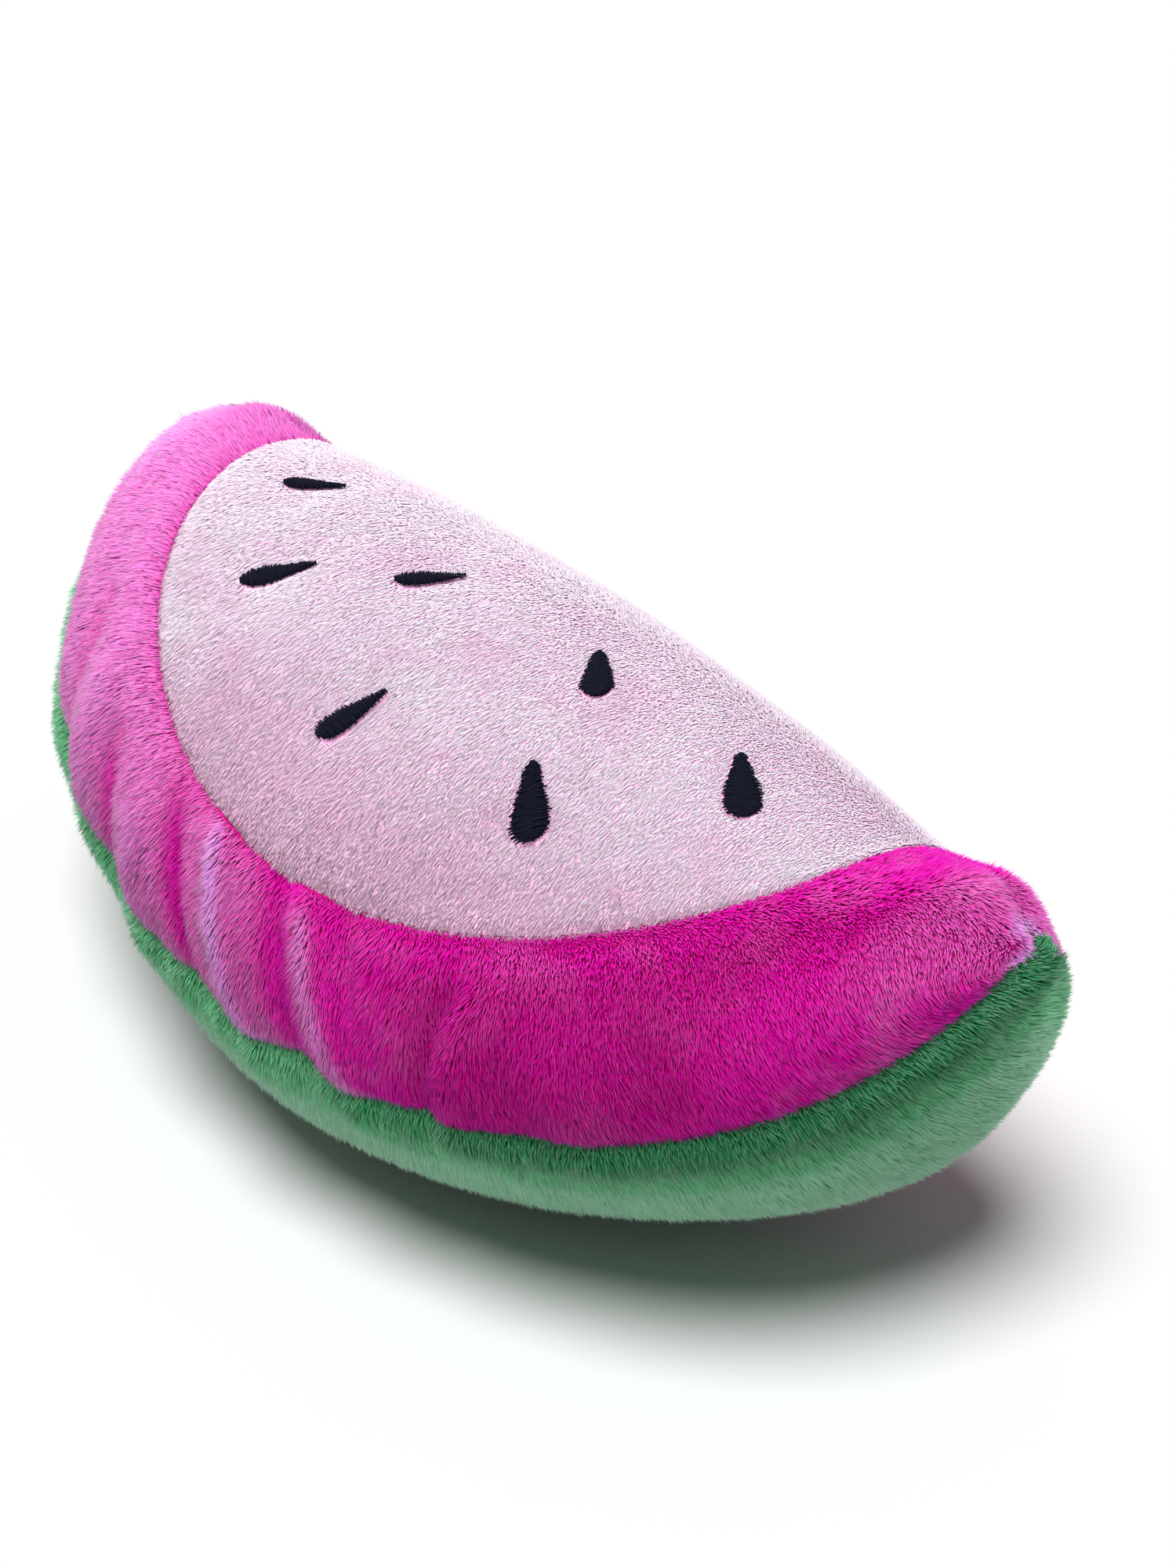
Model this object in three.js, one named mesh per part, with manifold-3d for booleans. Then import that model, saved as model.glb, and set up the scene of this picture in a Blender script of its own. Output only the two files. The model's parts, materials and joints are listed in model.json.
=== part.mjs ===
// Plush dog toy in the form of a melon slice, with a squeaker inside its stuffing.
// Millimetres, +Z up. The slice leans back on the rear half of its rind, as it rests on a floor.
// The slice's own frame has X along the ridge, Z up the middle plane of the wedge, and the
// front face towards -Y. Its zero is the middle of the ridge. One function leans it into place.

import * as THREE from 'three';
import { mergeVertices } from 'three/addons/utils/BufferGeometryUtils.js';
import Module from 'manifold-3d';

const wasm = await Module();
wasm.setup();

// Outer form
const halfLength = 100;
const seamDepth = 80.7;
const halfThickness = 40.3;
const ridgeDrop = 9.1;
const tipHump = 3.0;
const fleshHalfLength = 74.1;
const outlinePowerShare = 1.852;
const depthPowerShare = 0.845;
const thicknessPowerShare = 0.657;
const ridgeFullnessShare = 0.814;
const bellyShare = 0.578;
const bellyHeightShare = 0.269;
const tipHumpPlaceShare = 0.87;
const tipHumpWidthShare = 0.07;
const fleshSeamShare = 0.702;
const fleshSeamPowerShare = 0.586;
const bandTipShare = 0.3;
const bandSpreadShare = 2.1;

// Fabric, with its pile
const fleshThickness = 3.2;
const bandThickness = 2.8;
const rindEdgeThickness = 1.6;
const rindMiddleThickness = 6.4;
const rindTipThickness = 2.2;
const rindTipPowerShare = 4;
const rindFullestShare = -0.12;
const rindFullnessWidthShare = 0.42;
const fabricGap = 0.3;
const stuffingGap = 0.9;

// Rest pose
const leanDegrees = 33.3;
const restFlattening = 4.5;
const settleDepth = 26;

// Squeeze of the front half towards the back half, about the ridge
const squeezeDegrees = 12;

// Embroidered seeds
const seedHalfLength = 6.4;
const seedHalfWidth = 2.85;
const seedThickness = 1.3;
const seedSink = 0.3;
const pocketReach = 3;
const seedOutlinePoints = 16;
const seedFullnessShare = 1.3;
const seedPlaces = [
  { acrossShare: -0.729, downShare: 0.21, turnDegrees: 56, sizeShare: 0.84 },
  { acrossShare: -0.529, downShare: 0.384, turnDegrees: 42, sizeShare: 1.0 },
  { acrossShare: -0.235, downShare: 0.244, turnDegrees: 44, sizeShare: 0.86 },
  { acrossShare: -0.065, downShare: 0.476, turnDegrees: 18, sizeShare: 1.0 },
  { acrossShare: 0.267, downShare: 0.22, turnDegrees: -46, sizeShare: 0.9 },
  { acrossShare: 0.426, downShare: 0.442, turnDegrees: -44, sizeShare: 1.12 },
  { acrossShare: 0.71, downShare: 0.235, turnDegrees: -50, sizeShare: 1.1 },
];

// Squeaker, carried in the middle of the stuffing
const squeakerDepth = 48;
const bulbRadius = 20;
const bulbHalfLength = 18;
const bulbWall = 1.0;
const neckBoreRadius = 5.2;
const neckLength = 7;
const fitClearance = 0.3;
const housingWall = 1.2;
const housingLength = 13;
const flangeThickness = 1.2;
const flangeOverhang = 1.4;
const reedWidth = 3.0;
const reedThickness = 0.3;
const reedLength = 9.5;
const channelWidth = 2.0;
const channelDepth = 2.2;
const wedgeLength = 3.0;
const reedEndMargin = 0.8;
const cutOverrun = 1;

// Mesh fineness
const columns = 32;
const fleshRows = 6;
const bandRows = 6;
const rindRows = 8;
const roundSegments = 24;
const mergeDistance = 0.001;
const smallestShare = 0.001;

const hingeZ = -ridgeDrop;
const lean = THREE.MathUtils.degToRad(leanDegrees);
const squeezeAngle = THREE.MathUtils.degToRad(squeezeDegrees);

const finishes = {
  flesh: { color: 0xf2d9e4, roughness: 0.95, metalness: 0 },
  band: { color: 0xd61c98, roughness: 0.95, metalness: 0 },
  rind: { color: 0x4f9a62, roughness: 0.95, metalness: 0 },
  seed: { color: 0x11141f, roughness: 0.6, metalness: 0 },
  filling: { color: 0xf4f4f2, roughness: 1.0, metalness: 0 },
  bulb: { color: 0xe9ebee, roughness: 0.35, metalness: 0 },
  housing: { color: 0xf6f6f4, roughness: 0.3, metalness: 0 },
  reed: { color: 0xd9dde2, roughness: 0.25, metalness: 0 },
};

function lerp(from, to, share) {
  return from + (to - from) * share;
}

// Half outline of the slice at one station along the ridge, drawn in by an inset.
function sectionAt(x, inset) {
  const reach = Math.min(Math.abs(x) / (halfLength - inset), 1);
  const round = (1 - reach ** outlinePowerShare) ** (1 / outlinePowerShare);
  const along = Math.abs(x) / halfLength;
  const hump = tipHump * Math.exp(-(((along - tipHumpPlaceShare) / tipHumpWidthShare) ** 2));
  const base = -ridgeDrop * along ** 2 - inset;
  return {
    ridgeZ: base + hump,
    depth: (seamDepth - inset) * round ** depthPowerShare,
    thickness: (halfThickness - inset) * round ** thicknessPowerShare,
    baseZ: base,
  };
}

// Point on the face, from the ridge at 0 down to the rind seam at 1.
function facePoint(x, down, inset, side) {
  const section = sectionAt(x, inset);
  const seamZ = section.baseZ - section.depth;
  const curve = new THREE.CubicBezierCurve(
    new THREE.Vector2(0, section.ridgeZ),
    new THREE.Vector2(ridgeFullnessShare * section.thickness, section.ridgeZ),
    new THREE.Vector2((1 + bellyShare) * section.thickness, seamZ + bellyHeightShare * section.depth),
    new THREE.Vector2(section.thickness, seamZ),
  );
  const point = curve.getPoint(down);
  const partingRoom = Math.max(hingeZ - point.y, 0) * Math.tan(squeezeAngle / 2);
  return new THREE.Vector3(x, side * Math.max(point.x, fabricGap / 2 + partingRoom), point.y);
}

// Seam between flesh and band, moved outwards by a margin. The turn runs from 0 to PI.
function fleshSeam(turn, margin) {
  const share = fleshSeamShare + margin / seamDepth;
  return {
    x: -(fleshHalfLength + margin) * Math.cos(turn),
    down: share * Math.sin(turn) ** fleshSeamPowerShare,
  };
}

function fleshPoint(turn, across, inset, side) {
  const seam = fleshSeam(turn, -fabricGap / 2);
  return facePoint(seam.x, seam.down * across, inset, side);
}

function bandPoint(turn, across, inset, side, margin) {
  const seam = fleshSeam(turn, margin);
  const crowd = 1 + bandTipShare / Math.max(Math.sin(turn), smallestShare);
  const spread = Math.min(crowd ** (1 / 2), bandSpreadShare);
  const x = lerp(seam.x, -(halfLength - inset) * Math.cos(turn), across ** (1 / spread));
  return facePoint(x, lerp(seam.down, 1, across ** (crowd / spread)), inset, side);
}

// Rind seam as seen about the hinge line: place along the ridge, radius and half angle.
function rindSeam(turn, inset) {
  const x = -(halfLength - inset) * Math.cos(turn);
  const section = sectionAt(x, inset);
  const below = hingeZ - (section.baseZ - section.depth);
  return {
    x,
    radius: Math.hypot(section.thickness, below),
    halfAngle: Math.atan2(section.thickness, below),
  };
}

// Point on the rind. Across runs from -1 at the front seam to 1 at the back seam.
function rindPoint(turn, across, standOff) {
  const step = Math.PI / columns / 4;
  const before = rindSeam(Math.max(turn - step, 0), 0);
  const after = rindSeam(Math.min(turn + step, Math.PI), 0);
  const seam = rindSeam(turn, 0);
  const outward = new THREE.Vector2(before.radius - after.radius, after.x - before.x).normalize();
  const radius = Math.max(seam.radius + outward.y * standOff, 0);
  const angle = seam.halfAngle * across;
  const x = seam.x + outward.x * standOff;
  return new THREE.Vector3(x, radius * Math.sin(angle), hingeZ - radius * Math.cos(angle));
}

// Point on the outside of the rind, which is fullest a little to one side of its middle.
function rindOuterPoint(turn, across) {
  const place = (-Math.cos(turn) - rindFullestShare) / rindFullnessWidthShare;
  const fullness = Math.exp(-(place ** 2)) * (1 - across ** 2);
  const crowned = lerp(rindEdgeThickness, rindMiddleThickness, fullness);
  const tipNearness = (1 - Math.sin(turn)) ** rindTipPowerShare;
  return rindPoint(turn, across, fabricGap + lerp(crowned, rindTipThickness, tipNearness));
}

// Leans a point of the slice back into its rest pose, about the ridge.
function leanBack(point) {
  return point.clone().applyAxisAngle(new THREE.Vector3(1, 0, 0), -lean);
}

// Triangles of one grid of points. Flipped grids face the other way.
function gridFaces(points, flipped) {
  const faces = [];
  for (let i = 0; i + 1 < points.length; i += 1) {
    for (let j = 0; j + 1 < points[i].length; j += 1) {
      const quad = [points[i][j], points[i + 1][j], points[i + 1][j + 1], points[i][j + 1]];
      const corners = flipped ? quad.reverse() : quad;
      faces.push([corners[0], corners[1], corners[2]], [corners[0], corners[2], corners[3]]);
    }
  }
  return faces;
}

function makeGrid(columns, rows, pointAt) {
  const grid = [];
  for (let i = 0; i <= columns; i += 1) {
    const column = [];
    for (let j = 0; j <= rows; j += 1) {
      column.push(pointAt(i / columns, j / rows));
    }
    grid.push(column);
  }
  return grid;
}

function faceNormal([a, b, c]) {
  return b.clone().sub(a).cross(c.clone().sub(a));
}

// Closed solid between an outer and an inner grid, turned so that its faces point out.
function shellFaces(outer, inner) {
  const rims = [
    [outer[0], inner[0]],
    [inner[inner.length - 1], outer[outer.length - 1]],
    [inner.map((column) => column[0]), outer.map((column) => column[0])],
    [outer.map((column) => column.at(-1)), inner.map((column) => column.at(-1))],
  ];
  const faces = [...gridFaces(outer, false), ...gridFaces(inner, true)];
  for (const rim of rims) {
    faces.push(...gridFaces(rim, true));
  }
  return faces;
}

function signedVolume(faces) {
  return faces.reduce((sum, [a, b, c]) => sum + a.dot(b.clone().cross(c)) / 6, 0);
}

function facesToGeometry(faces) {
  const outward = signedVolume(faces) > 0;
  const positions = [];
  for (const face of faces) {
    if (faceNormal(face).length() < mergeDistance ** 2) {
      continue;
    }
    const ordered = outward ? face : [...face].reverse();
    for (const corner of ordered) {
      positions.push(corner.x, corner.y, corner.z);
    }
  }
  const geometry = new THREE.BufferGeometry();
  geometry.setAttribute('position', new THREE.Float32BufferAttribute(positions, 3));
  return geometry;
}

// Underside of the slice before it settles, and the floor that it then rests on.
const rindOuter = makeGrid(columns, rindRows, (u, v) =>
  leanBack(rindOuterPoint(u * Math.PI, 2 * v - 1)),
);
const bandBackOuter = makeGrid(columns, bandRows, (u, v) =>
  leanBack(bandPoint(u * Math.PI, v, 0, 1, fabricGap / 2)),
);
const lowest = Math.min(...rindOuter.flat().map((point) => point.z));
const floorZ = lowest + restFlattening;
const sunkFaces = [...gridFaces(rindOuter, false), ...gridFaces(bandBackOuter, false)].filter((face) =>
  face.some((corner) => corner.z < floorZ),
);

// Height of the unloaded underside below the floor at one place, zero or less.
function sinkAt(x, y) {
  let sink = 0;
  for (const [a, b, c] of sunkFaces) {
    const area = (b.x - a.x) * (c.y - a.y) - (c.x - a.x) * (b.y - a.y);
    if (area === 0) {
      continue;
    }
    const shareB = ((x - a.x) * (c.y - a.y) - (c.x - a.x) * (y - a.y)) / area;
    const shareC = ((b.x - a.x) * (y - a.y) - (x - a.x) * (b.y - a.y)) / area;
    if (Math.min(shareB, shareC, 1 - shareB - shareC) > -smallestShare) {
      const height = a.z + shareB * (b.z - a.z) + shareC * (c.z - a.z) - floorZ;
      sink = Math.min(sink, height);
    }
  }
  return sink;
}

// Leans a point back and lets it settle on the floor, where the underside goes flat.
function settle(point) {
  const leaned = leanBack(point);
  const height = leaned.z - floorZ;
  const sink = sinkAt(leaned.x, leaned.y);
  const above = height - sink;
  const settled = above < settleDepth ? above * (1 + sink / settleDepth) : height;
  return new THREE.Vector3(leaned.x, leaned.y, Math.max(settled, 0));
}

function settledGeometry(faces) {
  const known = new Map();
  const moved = faces.map((face) =>
    face.map((corner) => {
      if (!known.has(corner)) {
        known.set(corner, settle(corner));
      }
      return known.get(corner);
    }),
  );
  return facesToGeometry(moved);
}

// Booleans
function toSolid(geometry) {
  const bare = geometry.clone();
  bare.deleteAttribute('normal');
  bare.deleteAttribute('uv');
  const merged = mergeVertices(bare, mergeDistance);
  const corners = merged.index.array;
  const kept = [];
  for (let i = 0; i < corners.length; i += 3) {
    const [a, b, c] = [corners[i], corners[i + 1], corners[i + 2]];
    if (a !== b && b !== c && c !== a) {
      kept.push(a, b, c);
    }
  }
  const mesh = new wasm.Mesh({
    numProp: 3,
    vertProperties: new Float32Array(merged.attributes.position.array),
    triVerts: new Uint32Array(kept),
  });
  return new wasm.Manifold(mesh);
}

function toGeometry(solid) {
  const mesh = solid.getMesh();
  const geometry = new THREE.BufferGeometry();
  geometry.setAttribute('position', new THREE.Float32BufferAttribute(mesh.vertProperties, 3));
  geometry.setIndex([...mesh.triVerts]);
  return geometry.toNonIndexed();
}

function placed(geometry, matrix) {
  return geometry.clone().applyMatrix4(matrix);
}

// Fabric panels
function fleshShell(side) {
  const outer = makeGrid(columns, fleshRows, (u, v) => fleshPoint(u * Math.PI, v, 0, side));
  const inner = makeGrid(columns, fleshRows, (u, v) => fleshPoint(u * Math.PI, v, fleshThickness, side));
  return shellFaces(outer, inner);
}

function bandShell(side) {
  const margin = fabricGap / 2;
  const outer = makeGrid(columns, bandRows, (u, v) => bandPoint(u * Math.PI, v, 0, side, margin));
  const inner = makeGrid(columns, bandRows, (u, v) => bandPoint(u * Math.PI, v, bandThickness, side, margin));
  return shellFaces(outer, inner);
}

function rindShell() {
  const outer = makeGrid(columns, rindRows, (u, v) => rindOuterPoint(u * Math.PI, 2 * v - 1));
  const inner = makeGrid(columns, rindRows, (u, v) => rindPoint(u * Math.PI, 2 * v - 1, fabricGap));
  return shellFaces(outer, inner);
}

// Place of a seed: its middle on the flesh, its direction towards the tip, and the way out.
function seedMatrix(place, side) {
  const x = place.acrossShare * fleshHalfLength;
  const reach = fabricGap;
  const middle = facePoint(x, place.downShare, 0, side);
  const alongX = facePoint(x + reach, place.downShare, 0, side).sub(middle).normalize();
  const nudge = reach / seamDepth;
  const upwards = facePoint(x, place.downShare - nudge, 0, side).sub(middle).normalize();
  const out = alongX.clone().cross(upwards).multiplyScalar(-side).normalize();
  const up = out.clone().cross(alongX).multiplyScalar(-side).normalize();
  const turn = THREE.MathUtils.degToRad(place.turnDegrees);
  const tip = up.clone().multiplyScalar(Math.cos(turn));
  tip.add(alongX.clone().multiplyScalar(Math.sin(turn)));
  const across = tip.clone().cross(out);
  const matrix = new THREE.Matrix4().makeBasis(across, tip, out);
  matrix.premultiply(new THREE.Matrix4().makeRotationX(-lean));
  return matrix.setPosition(settle(middle));
}

// Teardrop with its point at +Y.
function teardrop(sizeShare, margin) {
  const halfWidth = seedHalfWidth * sizeShare + margin;
  const halfHeight = seedHalfLength * sizeShare + margin;
  const outline = [];
  for (let i = 0; i < seedOutlinePoints; i += 1) {
    const angle = (2 * Math.PI * i) / seedOutlinePoints;
    const width = halfWidth * seedFullnessShare * Math.sin(angle) * Math.sin(angle / 2);
    outline.push(new THREE.Vector2(-width, halfHeight * Math.cos(angle)));
  }
  return new THREE.Shape(outline);
}

function seedGeometry(place) {
  const geometry = new THREE.ExtrudeGeometry(teardrop(place.sizeShare, 0), {
    depth: seedThickness,
    bevelEnabled: false,
  });
  return geometry.translate(0, 0, -seedSink - seedThickness);
}

function pocketGeometry(place) {
  const depth = seedSink + seedThickness + fabricGap;
  const geometry = new THREE.ExtrudeGeometry(teardrop(place.sizeShare, fabricGap), {
    depth: depth + pocketReach,
    bevelEnabled: false,
  });
  return geometry.translate(0, 0, -depth);
}

// Point on the stuffing. Rows run down the flesh, then the band, then half of the rind.
function stuffingPoint(turn, row, side) {
  const inset = Math.max(fleshThickness, bandThickness) + stuffingGap;
  if (row <= fleshRows) {
    const seam = fleshSeam(turn, 0);
    return facePoint(seam.x, (seam.down * row) / fleshRows, inset, side);
  }
  if (row <= fleshRows + bandRows) {
    return bandPoint(turn, (row - fleshRows) / bandRows, inset, side, 0);
  }
  const seam = rindSeam(turn, inset);
  const beyond = (row - fleshRows - bandRows) / (rindRows / 2);
  const angle = seam.halfAngle * (1 - beyond);
  const y = Math.max(seam.radius * Math.sin(angle), fabricGap / 2);
  return new THREE.Vector3(seam.x, side * y, hingeZ - seam.radius * Math.cos(angle));
}

function stuffingFaces(side) {
  const rows = fleshRows + bandRows + rindRows / 2;
  const outer = makeGrid(columns, rows, (u, v) => stuffingPoint(u * Math.PI, Math.round(v * rows), side));
  const middle = outer.map((column) =>
    column.map((point) => new THREE.Vector3(point.x, (side * fabricGap) / 2, point.z)),
  );
  return shellFaces(outer, middle);
}

// Squeaker, along X, with its middle at zero and its mouth towards +X
function latheAlongX(points) {
  const geometry = new THREE.LatheGeometry(points, roundSegments).rotateZ(-Math.PI / 2).toNonIndexed();
  const corners = geometry.attributes.position;
  const faces = [];
  for (let i = 0; i < corners.count; i += 3) {
    faces.push([0, 1, 2].map((step) => new THREE.Vector3().fromBufferAttribute(corners, i + step)));
  }
  return facesToGeometry(faces);
}

function bulbGeometry() {
  const neckOuter = neckBoreRadius + bulbWall;
  const outer = [];
  const inner = [];
  const steps = roundSegments / 2;
  const outerEnd = Math.asin(neckOuter / bulbRadius);
  const innerEnd = Math.asin(neckBoreRadius / (bulbRadius - bulbWall));
  for (let i = 0; i <= steps; i += 1) {
    const outerTurn = lerp(Math.PI, outerEnd, i / steps);
    const innerTurn = lerp(innerEnd, Math.PI, i / steps);
    outer.push(new THREE.Vector2(bulbRadius * Math.sin(outerTurn), bulbHalfLength * Math.cos(outerTurn)));
    inner.push(
      new THREE.Vector2(
        (bulbRadius - bulbWall) * Math.sin(innerTurn),
        (bulbHalfLength - bulbWall) * Math.cos(innerTurn),
      ),
    );
  }
  const mouth = bulbHalfLength + neckLength;
  outer.push(new THREE.Vector2(neckOuter, mouth));
  inner.unshift(new THREE.Vector2(neckBoreRadius, mouth));
  outer[0].x = 0;
  inner.at(-1).x = 0;
  return latheAlongX([...outer, ...inner]);
}

function cylinderAlongX(radius, from, to) {
  const geometry = new THREE.CylinderGeometry(radius, radius, to - from, roundSegments);
  return geometry.rotateZ(-Math.PI / 2).translate((from + to) / 2, 0, 0);
}

function boxBetween(low, high) {
  const size = high.clone().sub(low);
  const middle = low.clone().add(high).multiplyScalar(1 / 2);
  return new THREE.BoxGeometry(size.x, size.y, size.z).translate(middle.x, middle.y, middle.z);
}

const mouthX = bulbHalfLength + neckLength;
const housingRadius = neckBoreRadius - fitClearance;
const chamberRadius = housingRadius - housingWall;
const housingStart = mouthX + fitClearance + flangeThickness - housingLength;
const housingEnd = mouthX + fitClearance + flangeThickness;
const reedEnd = housingEnd - reedEndMargin;
const reedStart = reedEnd - reedLength;
const reedBottom = fitClearance;
const reedTop = reedBottom + reedThickness;

function housingGeometry() {
  const tube = toSolid(cylinderAlongX(housingRadius, housingStart, housingEnd));
  const flange = toSolid(
    cylinderAlongX(neckBoreRadius + bulbWall + flangeOverhang, mouthX + fitClearance, housingEnd),
  );
  const chamber = toSolid(cylinderAlongX(chamberRadius, housingStart - cutOverrun, housingEnd + cutOverrun));
  const upperHalf = toSolid(
    boxBetween(
      new THREE.Vector3(housingStart - 2 * cutOverrun, -housingRadius, 0),
      new THREE.Vector3(housingEnd + 2 * cutOverrun, housingRadius, housingRadius),
    ),
  );
  const channel = toSolid(
    boxBetween(
      new THREE.Vector3(reedStart + reedEndMargin, -channelWidth / 2, -channelDepth),
      new THREE.Vector3(housingEnd + cutOverrun, channelWidth / 2, channelDepth),
    ),
  );
  const body = tube.add(flange).subtract(chamber.intersect(upperHalf)).subtract(channel);
  return toGeometry(body);
}

function wedgeGeometry() {
  const plug = toSolid(cylinderAlongX(chamberRadius - fitClearance, reedEnd - wedgeLength, reedEnd));
  const above = toSolid(
    boxBetween(
      new THREE.Vector3(reedEnd - wedgeLength - cutOverrun, -housingRadius, reedTop + fitClearance),
      new THREE.Vector3(reedEnd + cutOverrun, housingRadius, housingRadius),
    ),
  );
  return toGeometry(plug.intersect(above));
}

function reedGeometry() {
  return boxBetween(
    new THREE.Vector3(reedStart, -reedWidth / 2, reedBottom),
    new THREE.Vector3(reedEnd, reedWidth / 2, reedTop),
  );
}

// Place of the squeaker in the rest pose.
function squeakerMatrix() {
  const middle = leanBack(new THREE.Vector3(0, 0, -squeakerDepth));
  const matrix = new THREE.Matrix4().makeRotationX(-lean);
  return matrix.setPosition(middle.x, middle.y, middle.z - floorZ);
}

// Room for the squeaker in the stuffing.
function nestSolid() {
  const flangeRadius = neckBoreRadius + bulbWall + flangeOverhang + fitClearance;
  const profile = [];
  for (let i = 0; i <= roundSegments / 2; i += 1) {
    const turn = Math.PI - (2 * Math.PI * i) / roundSegments;
    const radius = (bulbRadius + fitClearance) * Math.sin(turn);
    profile.push(new THREE.Vector2(Math.max(radius, 0), (bulbHalfLength + fitClearance) * Math.cos(turn)));
  }
  profile[0].x = 0;
  profile.at(-1).x = 0;
  const ball = latheAlongX(profile);
  const neck = cylinderAlongX(flangeRadius, 0, housingEnd + fitClearance);
  const matrix = squeakerMatrix();
  return toSolid(placed(ball, matrix)).add(toSolid(placed(neck, matrix)));
}

// Assembly
const slice = new THREE.Group();

function addMesh(name, geometry, finish) {
  const mesh = new THREE.Mesh(geometry, new THREE.MeshStandardMaterial(finish));
  mesh.name = name;
  slice.add(mesh);
  return mesh;
}

const nest = nestSolid();
const sides = [
  { label: 'front', side: -1 },
  { label: 'back', side: 1 },
];

for (const { label, side } of sides) {
  let flesh = toSolid(settledGeometry(fleshShell(side)));
  seedPlaces.forEach((place, index) => {
    const matrix = seedMatrix(place, side);
    flesh = flesh.subtract(toSolid(placed(pocketGeometry(place), matrix)));
    addMesh(`seed_${label}_${index + 1}`, placed(seedGeometry(place), matrix), finishes.seed);
  });
  addMesh(`flesh_${label}`, toGeometry(flesh), finishes.flesh);
  addMesh(`band_${label}`, settledGeometry(bandShell(side)), finishes.band);
  const filling = toSolid(settledGeometry(stuffingFaces(side))).subtract(nest);
  addMesh(`stuffing_${label}`, toGeometry(filling), finishes.filling);
}
addMesh('rind', settledGeometry(rindShell()), finishes.rind);

const squeaker = squeakerMatrix();
addMesh('squeaker_bulb', placed(bulbGeometry(), squeaker), finishes.bulb);
addMesh('reed_housing', placed(housingGeometry(), squeaker), finishes.housing);
addMesh('reed_wedge', placed(wedgeGeometry(), squeaker), finishes.housing);
addMesh('reed', placed(reedGeometry(), squeaker), finishes.reed);

// The origin is under the middle of the toy.
const bounds = new THREE.Box3().setFromObject(slice);
const middle = bounds.getCenter(new THREE.Vector3());
slice.position.set(-middle.x, -middle.y, 0);
slice.updateMatrixWorld(true);

export default slice;
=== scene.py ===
"""Plush melon slice with a squeaker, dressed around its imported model.

The slice's own frame is in millimetres, with X along the ridge, Z up the middle plane of the
wedge and the front face towards -Y. Its zero is the middle of the ridge. RestPose leans the slice
back, settles it on the floor and turns it into metres.
"""

import json
import logging
import math
from dataclasses import dataclass
from enum import Enum

import bmesh
import bpy
import numpy as np
from mathutils import Matrix, Vector, noise
from mathutils.bvhtree import BVHTree


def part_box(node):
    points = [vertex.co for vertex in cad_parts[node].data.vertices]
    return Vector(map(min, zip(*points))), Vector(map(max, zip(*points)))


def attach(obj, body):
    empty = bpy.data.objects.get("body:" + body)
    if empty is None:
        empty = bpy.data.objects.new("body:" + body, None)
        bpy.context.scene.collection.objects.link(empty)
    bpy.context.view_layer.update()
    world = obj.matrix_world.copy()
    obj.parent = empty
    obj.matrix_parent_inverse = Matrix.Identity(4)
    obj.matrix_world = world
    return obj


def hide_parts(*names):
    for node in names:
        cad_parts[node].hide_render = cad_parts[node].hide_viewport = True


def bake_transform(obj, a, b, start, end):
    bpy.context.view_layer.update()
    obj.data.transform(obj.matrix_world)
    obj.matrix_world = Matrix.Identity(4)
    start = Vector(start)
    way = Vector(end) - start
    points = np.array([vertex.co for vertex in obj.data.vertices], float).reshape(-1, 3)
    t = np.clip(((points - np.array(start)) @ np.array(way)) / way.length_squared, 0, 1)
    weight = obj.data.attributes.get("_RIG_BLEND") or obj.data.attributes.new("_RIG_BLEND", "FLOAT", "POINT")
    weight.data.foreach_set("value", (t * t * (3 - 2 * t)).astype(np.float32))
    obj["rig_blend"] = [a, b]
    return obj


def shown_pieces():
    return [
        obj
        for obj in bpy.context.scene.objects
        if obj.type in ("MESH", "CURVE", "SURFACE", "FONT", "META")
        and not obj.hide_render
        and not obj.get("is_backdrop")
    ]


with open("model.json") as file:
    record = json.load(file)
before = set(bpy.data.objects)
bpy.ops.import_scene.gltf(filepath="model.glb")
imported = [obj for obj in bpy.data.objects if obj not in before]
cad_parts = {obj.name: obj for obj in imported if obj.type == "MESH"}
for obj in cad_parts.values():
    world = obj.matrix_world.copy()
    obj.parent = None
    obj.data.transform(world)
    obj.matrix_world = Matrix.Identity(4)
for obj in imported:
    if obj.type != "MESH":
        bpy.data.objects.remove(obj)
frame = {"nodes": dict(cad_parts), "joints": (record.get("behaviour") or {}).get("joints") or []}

LOG = logging.getLogger("melon_slice")
MM = 0.001
DOUBLED = 2e-6
Colour = tuple[float, float, float]


class Side(Enum):
    """The two faces of the slice, by the sign of Y."""

    FRONT = -1
    BACK = 1

    @property
    def label(self) -> str:
        """Name used in pieces and CAD nodes."""
        return self.name.lower()

    @property
    def body(self) -> str:
        """CAD body that this side's pieces move with."""
        return f"{self.label}_half"


def srgb(red: int, green: int, blue: int) -> Colour:
    """Turns a colour from 0 to 255 into linear light.

    Args:
        red: Red, from 0 to 255.
        green: Green, from 0 to 255.
        blue: Blue, from 0 to 255.

    Returns:
        The linear colour, from 0 to 1.
    """
    parts = []
    for value in (red, green, blue):
        share = value / 255
        parts.append(share / 12.92 if share <= 0.04045 else ((share + 0.055) / 1.055) ** 2.4)
    return tuple(parts)


def lerp(start: np.ndarray, end: np.ndarray, share: np.ndarray) -> np.ndarray:
    """Straight blend from start to end."""
    return start + (end - start) * share


def bump(distance: np.ndarray, width: float) -> np.ndarray:
    """Bell curve that is 1 at distance 0."""
    return np.exp(-((distance / width) ** 2))


def smooth(value: np.ndarray, start: float, end: float) -> np.ndarray:
    """Smooth step from 0 at start to 1 at end."""
    share = np.clip((value - start) / (end - start), 0, 1)
    return share * share * (3 - 2 * share)


def unit(vectors: np.ndarray) -> np.ndarray:
    """Vectors of length 1, along the last axis."""
    return vectors / np.maximum(np.linalg.norm(vectors, axis=-1, keepdims=True), 1e-12)


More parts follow.
